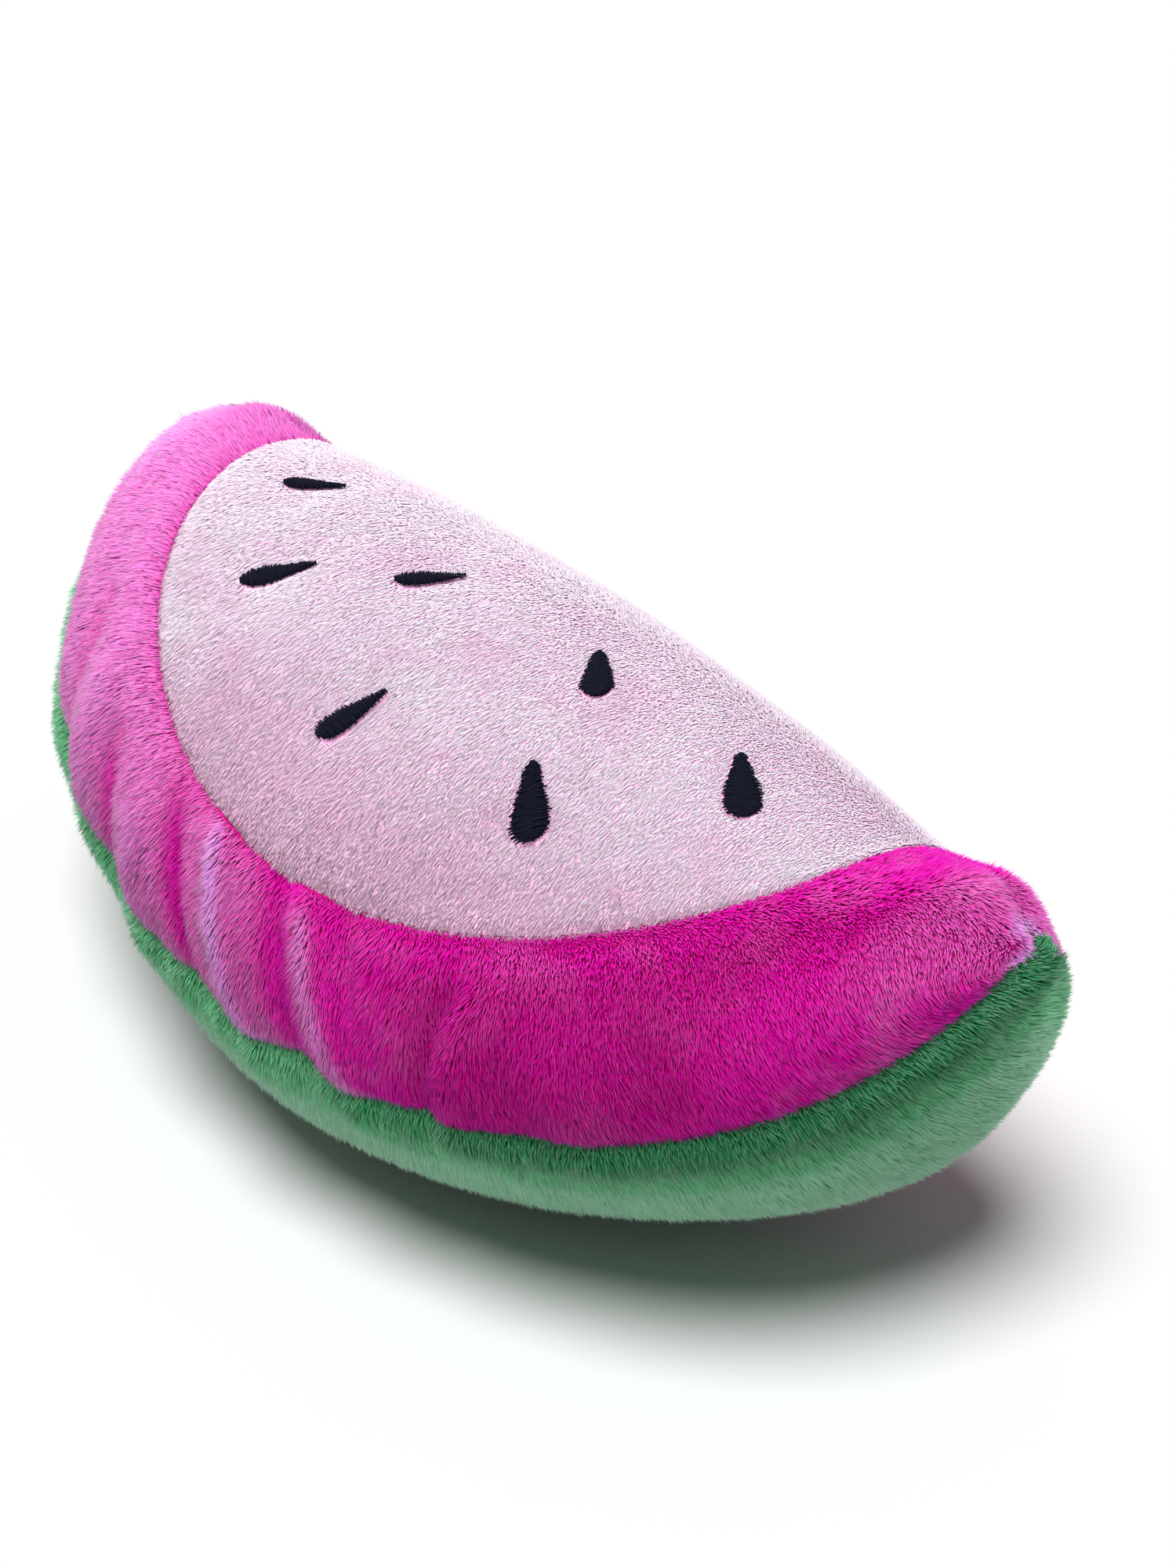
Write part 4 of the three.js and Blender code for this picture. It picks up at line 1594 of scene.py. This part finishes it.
class PileMaker:
    """Grows the pile of a panel, in sectors along the ridge."""

    floor = 0.00005
    tuft_corners = 4
    tuft_faces = 4
    kept = ("tip", "shade", "lift", "ground")
    spacing = 0.62
    cell_left = 0.06
    cell_step = 0.3
    cell_width = 0.26
    cell_low = 0.08
    cell_high = 0.66
    foot_cell = ((0.1, 0.76), (0.9, 0.76), (0.5, 0.95))
    core_share = 0.4
    core_height = 0.027

    def __init__(self) -> None:
        """Makes the node tree that every panel uses."""
        self.tree = PileTree()

    def grow(
        self, name: str, cloth: Cloth, cut: PileCut, finish: bpy.types.Material, sectors: int
    ) -> list[bpy.types.Object]:
        """Grows the pile of one panel.

        Args:
            name: Name of the pieces, before their number.
            cloth: The panel's outer cloth.
            cut: How the pile is cut.
            finish: Its material.
            sectors: How many pieces it is split into.

        Returns:
            The pieces.
        """
        made = []
        across = np.diff(cloth.points, axis=1)[:-1]
        along = np.diff(cloth.points, axis=0)[:, :-1]
        area = np.linalg.norm(np.cross(across, along), axis=-1).sum(axis=1)
        grown = np.concatenate([[0.0], np.cumsum(area)]) / area.sum()
        marks = np.interp(np.linspace(0, 1, sectors + 1), grown, np.arange(len(grown)))
        marks = marks.round().astype(int)
        for number, (start, end) in enumerate(zip(marks[:-1], marks[1:]), 1):
            part = slice(start, end + 1)
            points = cloth.points[part]
            base = new_object(f"{name}_base", points, grid_quads(*points.shape[:2]))
            set_attribute(base.data, "nap", cloth.nap[part].reshape(-1, 3))
            set_attribute(base.data, "pile", cloth.pile[part].ravel())
            set_attribute(base.data, "lift", cloth.lift[part].ravel())
            self._face_out(base, cloth)
            values = {
                "Tufts": cut.tufts,
                "Spacing": self.spacing / math.sqrt(cut.tufts),
                "Width": cut.width,
                "Length": cut.length,
                "Nap": cut.nap,
                "Clump size": cut.clump_size,
                "Clump": cut.clump,
                "Scatter": cut.scatter,
                "Seed": number,
                "Material": finish,
            }
            piece = self.tree.grow(base, f"{name}_{number}", values, self.kept)
            self._rest_on_floor(piece)
            made.append(piece)
        return made

    def lay_out(self, piece: bpy.types.Object) -> None:
        """Gives each tuft a cell of its own in the piece's UV map.

        Args:
            piece: A piece of pile.
        """
        mesh = piece.data
        loops = self.tuft_faces * 3
        count = len(mesh.loops) // loops
        side = math.ceil(math.sqrt(count))
        cell = np.stack([np.arange(count) % side, np.arange(count) // side], axis=-1)
        corners = []
        for face in range(self.tuft_faces - 1):
            left = self.cell_left + self.cell_step * face
            top = (left + self.cell_width / 2, self.cell_high)
            corners += [(left, self.cell_low), (left + self.cell_width, self.cell_low), top]
        corners += self.foot_cell
        layer = mesh.uv_layers.new(name="OFBake")
        places = (cell[:, None, :] + np.array(corners)[None]) / side
        layer.data.foreach_set("uv", places.astype(np.float32).ravel())

    def _face_out(self, base: bpy.types.Object, cloth: Cloth) -> None:
        """Turns the cloth's faces away from the middle of the slice."""
        middle = Vector(cloth.points.reshape(-1, 3).mean(axis=0)) * self.core_share
        middle += Vector((0, 0, self.core_height))
        base.data.update()
        total = sum((p.center - middle).dot(p.normal) * p.area for p in base.data.polygons)
        if total < 0:
            base.data.flip_normals()

    def _rest_on_floor(self, piece: bpy.types.Object) -> None:
        """Presses pile that would reach below the floor flat on it."""
        corners = corners_of(piece.data)
        corners[:, 2] = np.maximum(corners[:, 2], self.floor)
        piece.data.vertices.foreach_set("co", corners.astype(np.float32).ravel())
        piece.data.update()


# Seeds


@dataclass
class SeedEmbroidery:
    """The embroidered seeds of one face: satin stitches over a padded underlay."""

    skin: FleshPanel
    side: Side
    half_length: float = 6.4
    half_width: float = 2.85
    blunt: float = 0.33
    tip_start: float = -0.1
    tip_round: float = 0.05
    widest: float = 0.74
    shoulder: float = 0.72
    ragged: float = 0.26
    thread: float = 0.2
    pitch: float = 0.36
    raised: float = 0.9
    proud: float = 0.4

    step_x = 0.3
    step_down = 0.004
    end_power = 2.6
    reach = 5
    end_slack = 1.02
    side_slack = 0.1
    ends = 0.985
    least_width = 0.3
    shift = 0.1
    stitch_lift = 0.1
    tilt = 0.12
    tilt_spread = 0.04
    arch = 0.5
    rings = 5
    steps = 32
    pad_scale = 0.97
    pad_depth = 0.4
    dome_power = 3

    def frame_at(self, place: SeedPlace) -> tuple[np.ndarray, np.ndarray, np.ndarray, np.ndarray]:
        """Middle of a seed and its directions: across, towards its tip and out."""
        x = place.across * self.skin.form.flesh_half_length
        spots = (x, place.down), (x + self.step_x, place.down), (x, place.down - self.step_down)
        middle, beside, above = (self._on_face(*spot) for spot in spots)
        along = unit(beside - middle)
        upwards = unit(above - middle)
        out = unit(np.cross(along, upwards)) * -self.side.value
        up = unit(np.cross(out, along)) * -self.side.value
        turn = math.radians(place.turn_degrees)
        tip = up * math.cos(turn) + along * math.sin(turn)
        return middle, unit(np.cross(tip, out)), tip, out

    def build(self, tree: ThreadTree, finish: bpy.types.Material) -> list[bpy.types.Object]:
        """Embroiders the seeds.

        Args:
            tree: The stitch tree.
            finish: The thread's material.

        Returns:
            One piece for each seed.
        """
        return [
            self._seed(number, place, tree, finish) for number, place in enumerate(SEED_PLACES, 1)
        ]

    def outline(self, share: np.ndarray, place: SeedPlace) -> np.ndarray:
        """Half width of the teardrop at a share from -1 at its wide end to 1 at its tip."""
        gone = np.clip((1 - share) / 2, 0, 1)
        blunt = self.blunt * place.breadth**3
        width = blunt + (1 - blunt) * smooth(gone, self.tip_start, self.widest)
        blunted = np.sqrt(np.clip(gone / self.tip_round, 0, 1))
        rounded = np.clip((gone - self.shoulder) / (1 - self.shoulder), 0, 1)
        width = width * blunted * np.sqrt(1 - rounded**self.end_power)
        return self.half_width * place.size * place.breadth * width

    def covers(self, points: np.ndarray, place: SeedPlace) -> np.ndarray:
        """Which points of the row frame lie over or under a seed."""
        middle, across, tip, out = self.frame_at(place)
        offset = (points - middle) / MM
        along = offset @ tip / (self.half_length * place.size)
        near = (np.abs(offset @ out) < self.reach) & (np.abs(along) < self.end_slack)
        return near & (np.abs(offset @ across) < self.outline(along, place) + self.side_slack)

    def _on_face(self, x: float, down: float) -> np.ndarray:
        """A point of the flesh's cloth in the row frame, in metres."""
        spot = np.array([x]), np.array([down])
        depth = self.skin.pile_inset + self.skin.dimples(*spot) - self.proud
        return self.skin.pose.place(self.skin.form.below(*spot, depth, self.side))[0]

    def _seed(
        self, number: int, place: SeedPlace, tree: ThreadTree, finish: bpy.types.Material
    ) -> bpy.types.Object:
        """One seed, with its underlay joined to its stitches."""
        middle, across, tip, out = self.frame_at(place)
        random = np.random.default_rng(100 * number + self.side.value)
        length = self.half_length * place.size
        count = int(2 * length / self.pitch)
        shares = np.linspace(-self.ends, self.ends, count)
        width = self.outline(shares, place)
        width = width + random.uniform(-self.ragged, self.ragged, count)
        width = np.maximum(width, self.least_width)
        shift = random.uniform(-self.shift, self.shift, count)
        centre = middle + MM * (
            (shares * length)[:, None] * tip + shift[:, None] * across + self.raised * self.stitch_lift * out
        )
        tilt = random.normal(self.tilt, self.tilt_spread, count)[:, None]
        along = unit(across + tilt * tip)
        arch = np.full(count, self.arch * self.raised)
        size = MM * np.stack([width, arch, arch], axis=-1)
        base = new_object("stitch_base", centre, np.zeros((0, 3), int))
        set_attribute(base.data, "along", along)
        set_attribute(base.data, "up", np.tile(out, (count, 1)))
        set_attribute(base.data, "size", size)
        name = f"seed_{self.side.label}_{number}_stitches"
        values = {"Thread": MM * self.thread, "Sides": 5, "Material": finish}
        stitches = tree.grow(base, name, values)
        pad = self._underlay(place, middle, across, tip, out)
        pad.data.materials.append(finish)
        joined = bmesh.new()
        joined.from_mesh(stitches.data)
        joined.from_mesh(pad.data)
        joined.to_mesh(stitches.data)
        joined.free()
        bpy.data.objects.remove(pad)
        return stitches

    def _underlay(
        self,
        place: SeedPlace,
        middle: np.ndarray,
        across: np.ndarray,
        tip: np.ndarray,
        out: np.ndarray,
    ) -> bpy.types.Object:
        """The low dome of thread under the satin stitches."""
        rings, steps = self.rings, self.steps
        angle = np.linspace(0, 2 * math.pi, steps, endpoint=False)
        share = np.cos(angle)
        side = np.sign(np.sin(angle)) * np.maximum(self.outline(share, place) - self.ragged, 0.0)
        points = [middle + MM * self.raised * self.arch * out]
        for ring in range(1, rings + 1):
            scale = ring / rings * self.pad_scale
            height = self.raised * self.arch * (1 - (ring / rings) ** self.dome_power)
            flat = (share * self.half_length * place.size * scale)[:, None] * tip
            flat = flat + (side * scale)[:, None] * across
            points.extend(middle + MM * (flat + height * out))
        points.append(middle - MM * self.pad_depth * out)
        faces = [[0, 1 + i, 1 + (i + 1) % steps] for i in range(steps)]
        for ring in range(rings - 1):
            start = 1 + ring * steps
            for i in range(steps):
                j = (i + 1) % steps
                faces.append([start + i, start + steps + i, start + steps + j])
                faces.append([start + i, start + steps + j, start + j])
        last = 1 + (rings - 1) * steps
        faces.extend([last + i, len(points) - 1, last + (i + 1) % steps] for i in range(steps))
        pad = new_object("underlay", np.array(points), np.array(faces))
        close_up(pad)
        return pad


@dataclass
class SeamStitches:
    """Stitches of sewing thread along a seam.

    Attributes:
        tree: The stitch tree.
        pose: Rest pose.
        half: Half length of a stitch, in millimetres.
        pitch: Distance between stitches, in millimetres.
        arch: Height of a stitch's middle, in millimetres.
        thread: Half thickness of the thread, in millimetres.
        slant: How far the stitches turn across the seam, as a share.
    """

    tree: ThreadTree
    pose: RestPose
    half: float = 0.95
    pitch: float = 2.4
    arch: float = 0.3
    thread: float = 0.17
    slant: float = 0.0

    floor_clear = 3

    def sew(
        self, name: str, line: np.ndarray, out: np.ndarray, finish: bpy.types.Material
    ) -> bpy.types.Object:
        """Sews along a line of points.

        Args:
            name: Name of the piece.
            line: Points of the seam, in the slice's frame.
            out: Directions out of the seam at the same points.
            finish: The thread's material.

        Returns:
            The stitches.
        """
        placed = self.pose.place(line, self.thread) / MM
        out = out @ self.pose.turn.T
        gone = walked(placed, axis=0)
        spots = np.arange(self.pitch / 2, gone[-1], self.pitch)
        middle, up = (
            np.stack([np.interp(spots, gone, values[:, i]) for i in range(3)], axis=-1)
            for values in (placed, out)
        )
        along = unit(np.gradient(middle, axis=0))
        along = unit(along + self.slant * np.cross(up, along))
        clear = middle[:, 2] > self.floor_clear * self.half
        spots, middle, up, along = spots[clear], middle[clear], up[clear], along[clear]
        base = new_object("seam_base", middle * MM, np.zeros((0, 3), int))
        set_attribute(base.data, "along", along)
        set_attribute(base.data, "up", unit(up))
        size = np.array([self.half, self.arch, self.arch]) * MM
        set_attribute(base.data, "size", np.tile(size, (len(spots), 1)))
        values = {"Thread": self.thread * MM, "Sides": 4, "Material": finish}
        return self.tree.grow(base, name, values)


def bend(piece: bpy.types.Object, pose: RestPose, reach: float) -> None:
    """Bends a piece between the two halves, evenly on both sides of the slice's middle.

    Args:
        piece: The finished piece.
        pose: Rest pose.
        reach: Distance from the middle where a half has the piece to itself, in millimetres.
    """
    start, end = (pose.place(np.array([[0.0, y, 0.0]]))[0] for y in (reach, -reach))
    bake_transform(piece, Side.BACK.body, Side.FRONT.body, start, end)


@dataclass
class Sewing:
    """The seams of the slice: round the flesh, along the rind and the hand-closed tip."""

    skin: FleshPanel
    tree: ThreadTree
    steps: int = 240
    closing_start: float = 77.0
    closing_end: float = 99.4

    flesh_turn = 0.02
    flesh_up = 0.1
    rind_turn = 0.05
    rind_up = 0.3
    closing_up = 0.3

    def round_flesh(self, side: Side) -> tuple[np.ndarray, np.ndarray]:
        """Seam between the flesh and a band, with its directions out."""
        form = self.skin.form
        x, down = form.flesh_line(np.linspace(self.flesh_turn, math.pi - self.flesh_turn, self.steps))
        sunk = self.skin.pile_inset + self.skin.flesh_groove
        depth = np.full_like(x, sunk - self.flesh_up)
        return form.below(x, down, depth, side), form.face_normal(x, down, side)

    def along_rind(self, side: Side) -> tuple[np.ndarray, np.ndarray]:
        """Seam between a band and the rind, with its directions out."""
        band = BandPanel(self.skin.form, self.skin.pose, side=side)
        turn = np.linspace(self.rind_turn, math.pi - self.rind_turn, self.steps)
        out = band.seam_pull(turn)
        return band.edge(turn, True) + self.rind_up * out, out

    def closed_tip(self) -> tuple[np.ndarray, np.ndarray]:
        """Hand-closed seam over the right tip, with its directions out."""
        form = self.skin.form
        x = np.linspace(self.closing_start, self.closing_end, self.steps)
        down = np.zeros_like(x)
        sunk = self.skin.pile_inset + self.skin.flesh_groove
        depth = np.full_like(x, sunk - self.closing_up)
        return form.below(x, down, depth, Side.FRONT), form.face_normal(x, down, Side.FRONT)

    def build(self) -> None:
        """Sews every seam."""
        dark, green = SEAM_THREAD.build(), RIND_THREAD.build()
        machine = SeamStitches(self.tree, self.skin.pose)
        fine = SeamStitches(self.tree, self.skin.pose, half=0.8, pitch=2.1, arch=0.15, thread=0.11)
        for side in Side:
            sewn = (
                (fine.sew(f"flesh_seam_{side.label}", *self.round_flesh(side), dark), "band_plush"),
                (machine.sew(f"rind_seam_{side.label}", *self.along_rind(side), green), "rind_plush"),
            )
            for piece, slot in sewn:
                bend(piece, self.skin.pose, BAND_REACH)
        ladder = SeamStitches(
            self.tree, self.skin.pose, half=1.3, pitch=2.3, arch=0.5, thread=0.2, slant=1.6
        )
        closing = ladder.sew("closing_stitches", *self.closed_tip(), dark)
        bend(closing, self.skin.pose, BAND_REACH)


@dataclass
class Filling:
    """The fibre filling: the space that it takes, with the lumps of loose fibre."""

    pose: RestPose
    side: Side
    lump_size: float = 0.009
    lump_depth: float = 0.0016
    room_depth: float = 12.5
    room_full: float = 10.0
    room_end: float = 24.0
    room_floor: float = 8.0
    room_top: float = 28.0

    lump_octaves = 3
    lump_least = 0.15

    def build(self, finish: bpy.types.Material) -> bpy.types.Object:
        """Makes the filling of one half.

        Args:
            finish: The fibre's material.

        Returns:
            The filling.
        """
        node = f"stuffing_{self.side.label}"
        mesh = bmesh.new()
        mesh.from_mesh(frame["nodes"][node].data)
        bmesh.ops.remove_doubles(mesh, verts=mesh.verts, dist=DOUBLED)
        bmesh.ops.subdivide_edges(mesh, edges=mesh.edges, cuts=1, use_grid_fill=True)
        mesh.normal_update()
        sunk = []
        for corner in mesh.verts:
            lump = noise.turbulence(corner.co / self.lump_size, self.lump_octaves, False)
            sunk.append(corner.co - corner.normal * self.lump_depth * (self.lump_least + lump))
        if self.side is Side.FRONT:
            sunk = self.room(np.array(sunk))
        for corner, place in zip(mesh.verts, sunk):
            corner.co = place
        made = new_object(f"filling_{self.side.label}", np.zeros((0, 3)), np.zeros((0, 3), int))
        mesh.to_mesh(made.data)
        mesh.free()
        made.data.shade_smooth()
        made.data.materials.append(finish)
        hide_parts(node)
        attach(made, self.side.body)
        return made

    def room(self, places: np.ndarray) -> np.ndarray:
        """Draws the filling back from the reed's housing, which comes closer in a squeeze.

        Args:
            places: Points of the filling, in metres.

        Returns:
            The points with the room made.
        """
        middle, beside = self.pose.place(np.array([[0.0, 0.0, 0.0], [0.0, self.side.value, 0.0]]))
        out = unit(beside - middle)
        depth = (places - middle) @ out / MM
        away = places - np.mean(np.array(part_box("reed_housing")), axis=0)
        far = np.linalg.norm(away - (away @ out)[:, None] * out, axis=1) / MM
        near = 1 - smooth(far, self.room_full, self.room_end)
        drawn = self.room_depth * near * (1 - smooth(depth, self.room_floor, self.room_top))
        return places + out * drawn[:, None] * MM


def clear_pile(pieces: list[bpy.types.Object], seeds: SeedEmbroidery) -> None:
    """Takes away the pile that stands under a seed or leans far over it.

    Args:
        pieces: Pieces of the flesh's pile.
        seeds: The seeds of one face.
    """
    for piece in pieces:
        corners = corners_of(piece.data).reshape(-1, PileMaker.tuft_corners, 3)
        middle = corners.mean(axis=1)
        gone = np.zeros(len(corners), bool)
        for place in SEED_PLACES:
            inside = [seeds.covers(corners[:, i], place) for i in range(PileMaker.tuft_corners)]
            gone |= np.sum(inside, axis=0) >= PileMaker.tuft_corners - 1
            gone |= seeds.covers(middle, place)
        if not gone.any():
            continue
        mesh = bmesh.new()
        mesh.from_mesh(piece.data)
        mesh.verts.ensure_lookup_table()
        lost = np.flatnonzero(np.repeat(gone, PileMaker.tuft_corners))
        bmesh.ops.delete(mesh, geom=[mesh.verts[i] for i in lost], context="VERTS")
        mesh.to_mesh(piece.data)
        mesh.free()


# Studio


@dataclass(frozen=True)
class Lamp:
    """A soft lamp that lights the toy and leaves out the floor."""

    name: str
    place: tuple[float, float, float]
    size: float
    power: float

    def build(self, target: Vector, floor: bpy.types.Object) -> None:
        """Adds the lamp.

        Args:
            target: Where it looks.
            floor: The floor.
        """
        light = bpy.data.lights.new(self.name, "AREA")
        light.shape = "DISK"
        light.size = self.size
        light.energy = self.power
        made = bpy.data.objects.new(self.name, light)
        bpy.context.scene.collection.objects.link(made)
        made.location = self.place
        made.rotation_euler = (target - Vector(self.place)).to_track_quat("-Z", "Y").to_euler()
        lit = bpy.data.collections.new(f"{self.name}_lit")
        lit.objects.link(floor)
        lit.collection_objects[0].light_linking.link_state = "EXCLUDE"
        made.light_linking.receiver_collection = lit


@dataclass(frozen=True)
class Studio:
    """Pale floor, soft lamps, world and camera."""

    camera_place: tuple[float, float, float] = (0.3911, -0.3033, 0.4235)
    right: tuple[float, float, float] = (0.6427, 0.7661, 0.0)
    back: tuple[float, float, float] = (0.6201, -0.5202, 0.5873)
    lens: float = 90.13
    sensor: float = 36.0
    target: tuple[float, float, float] = (0.0, 0.0, 0.04)
    floor_size: float = 3.0
    floor_white: float = 0.98
    world_strength: float = 0.14
    key_from: tuple[float, float, float] = (0.247, -0.39, 1.2)
    key_strength: float = 3.0
    key_angle_degrees: float = 25.0
    lamps: tuple[Lamp, ...] = (
        Lamp("left_lamp", (-0.9, -0.5, 0.8), 0.9, 16.0),
        Lamp("back_lamp", (0.4, 0.9, 0.95), 0.9, 13.5),
        Lamp("front_lamp", (0.75, -0.75, 0.75), 1.0, 9.0),
    )

    def build(self) -> None:
        """Adds the floor, the lamps, the world and the camera."""
        floor = self._floor()
        self._world()
        self._key()
        for lamp in self.lamps:
            lamp.build(Vector(self.target), floor)
        camera = bpy.data.cameras.new("camera")
        camera.sensor_width = self.sensor
        camera.lens = self.lens
        camera.clip_start, camera.clip_end = 0.01, 20.0
        made = bpy.data.objects.new("camera", camera)
        bpy.context.scene.collection.objects.link(made)
        right, back = Vector(self.right).normalized(), Vector(self.back).normalized()
        up = back.cross(right)
        turn = Matrix((right, up, back)).transposed().to_4x4()
        made.matrix_world = Matrix.Translation(self.camera_place) @ turn
        bpy.context.scene.camera = made
        bpy.context.scene.view_settings.view_transform = "Standard"

    def _floor(self) -> bpy.types.Object:
        """A pale floor that shows white to the camera and keeps the toy's shadow."""
        half = self.floor_size / 2
        corners = np.array([[-half, -half, 0], [half, -half, 0], [half, half, 0], [-half, half, 0]])
        floor = new_object("floor", corners, np.array([[0, 1, 2, 3]]))
        material = bpy.data.materials.new("floor")
        material.use_nodes = True
        tree = NodeTree(material.node_tree)
        material.node_tree.nodes.clear()
        rays = tree.add("ShaderNodeLightPath")
        pale = tree.add("ShaderNodeBsdfDiffuse", {"Color": (0.8, 0.8, 0.8, 1.0)})
        white = tree.add("ShaderNodeBsdfDiffuse", {"Color": (self.floor_white,) * 3 + (1.0,)})
        mixed = tree.add(
            "ShaderNodeMixShader", {0: rays.outputs["Is Camera Ray"], 1: pale, 2: white}
        )
        tree.add("ShaderNodeOutputMaterial", {"Surface": mixed})
        floor.data.materials.append(material)
        floor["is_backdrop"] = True
        return floor

    def _key(self) -> None:
        """The broad key light, which casts the shadow."""
        light = bpy.data.lights.new("key_light", "SUN")
        light.energy = self.key_strength
        light.angle = math.radians(self.key_angle_degrees)
        made = bpy.data.objects.new("key_light", light)
        bpy.context.scene.collection.objects.link(made)
        made.location = self.key_from
        made.rotation_euler = Vector(self.key_from).to_track_quat("Z", "Y").to_euler()

    def _world(self) -> None:
        """White to the camera and in reflections, softer as light."""
        world = bpy.data.worlds.new("studio")
        world.use_nodes = True
        bpy.context.scene.world = world
        tree = NodeTree(world.node_tree)
        world.node_tree.nodes.clear()
        rays = tree.add("ShaderNodeLightPath")
        seen = tree.maths("MAXIMUM", rays.outputs["Is Camera Ray"], rays.outputs["Is Glossy Ray"])
        seen = tree.maths("MAXIMUM", seen, rays.outputs["Is Transmission Ray"])
        soft = tree.add("ShaderNodeBackground", {"Color": (1, 1, 1, 1), "Strength": self.world_strength})
        white = tree.add("ShaderNodeBackground", {"Color": (1, 1, 1, 1), "Strength": 1.0})
        mixed = tree.add("ShaderNodeMixShader", {0: seen, 1: soft, 2: white})
        tree.add("ShaderNodeOutputWorld", {"Surface": mixed})


def main() -> None:
    """Builds the toy around its frame and reports each piece."""
    logging.basicConfig(level=logging.INFO, format="%(message)s")
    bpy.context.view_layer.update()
    form = SliceForm()
    pose = RestPose(form)
    maker = PileMaker()
    threads = ThreadTree()

    flesh = FleshPanel(form, pose)
    flesh_skin, flesh_cloth = flesh.build(FLESH.cloth())
    flesh_pile = maker.grow("flesh_pile", flesh_cloth, FLESH_CUT, FLESH.pile(), 4)
    seed_finish = SEED_THREAD.build()
    for side in Side:
        seeds = SeedEmbroidery(flesh, side)
        clear_pile(flesh_pile, seeds)
        for number, piece in enumerate(seeds.build(threads, seed_finish), 1):
            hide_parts(f"seed_{side.label}_{number}")
            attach(piece, side.body)
    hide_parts("flesh_front", "flesh_back")
    for piece in (flesh_skin, *flesh_pile):
        bend(piece, pose, FLESH_REACH)

    band_pile_finish = BAND.pile()
    band_cloth_finish = BAND.cloth()
    for side in Side:
        band = BandPanel(form, pose, side=side)
        skin, cloth = band.build(band_cloth_finish)
        pile = maker.grow(f"band_pile_{side.label}", cloth, BAND_CUT, band_pile_finish, 3)
        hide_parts(f"band_{side.label}")
        for piece in (skin, *pile):
            bend(piece, pose, BAND_REACH)

    rind = RindPanel(form, pose)
    skin, cloth = rind.build(RIND.cloth())
    pile = maker.grow("rind_pile", cloth, RIND_CUT, RIND.pile(), 4)
    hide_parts("rind")
    for piece in (skin, *pile):
        bend(piece, pose, BAND_REACH)

    for piece in [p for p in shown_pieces() if "_pile_" in p.name]:
        maker.lay_out(piece)
    Sewing(flesh, threads).build()
    fibre = fibre_finish()
    for side in Side:
        Filling(pose, side).build(fibre)
    for node, finish in SQUEAKER_FINISHES.items():
        frame["nodes"][node].data.materials[0] = finish.build()

    Studio().build()
    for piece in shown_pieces():
        LOG.info("%s: %d faces", piece.name, len(piece.data.polygons))


if __name__ == "__main__":
    main()
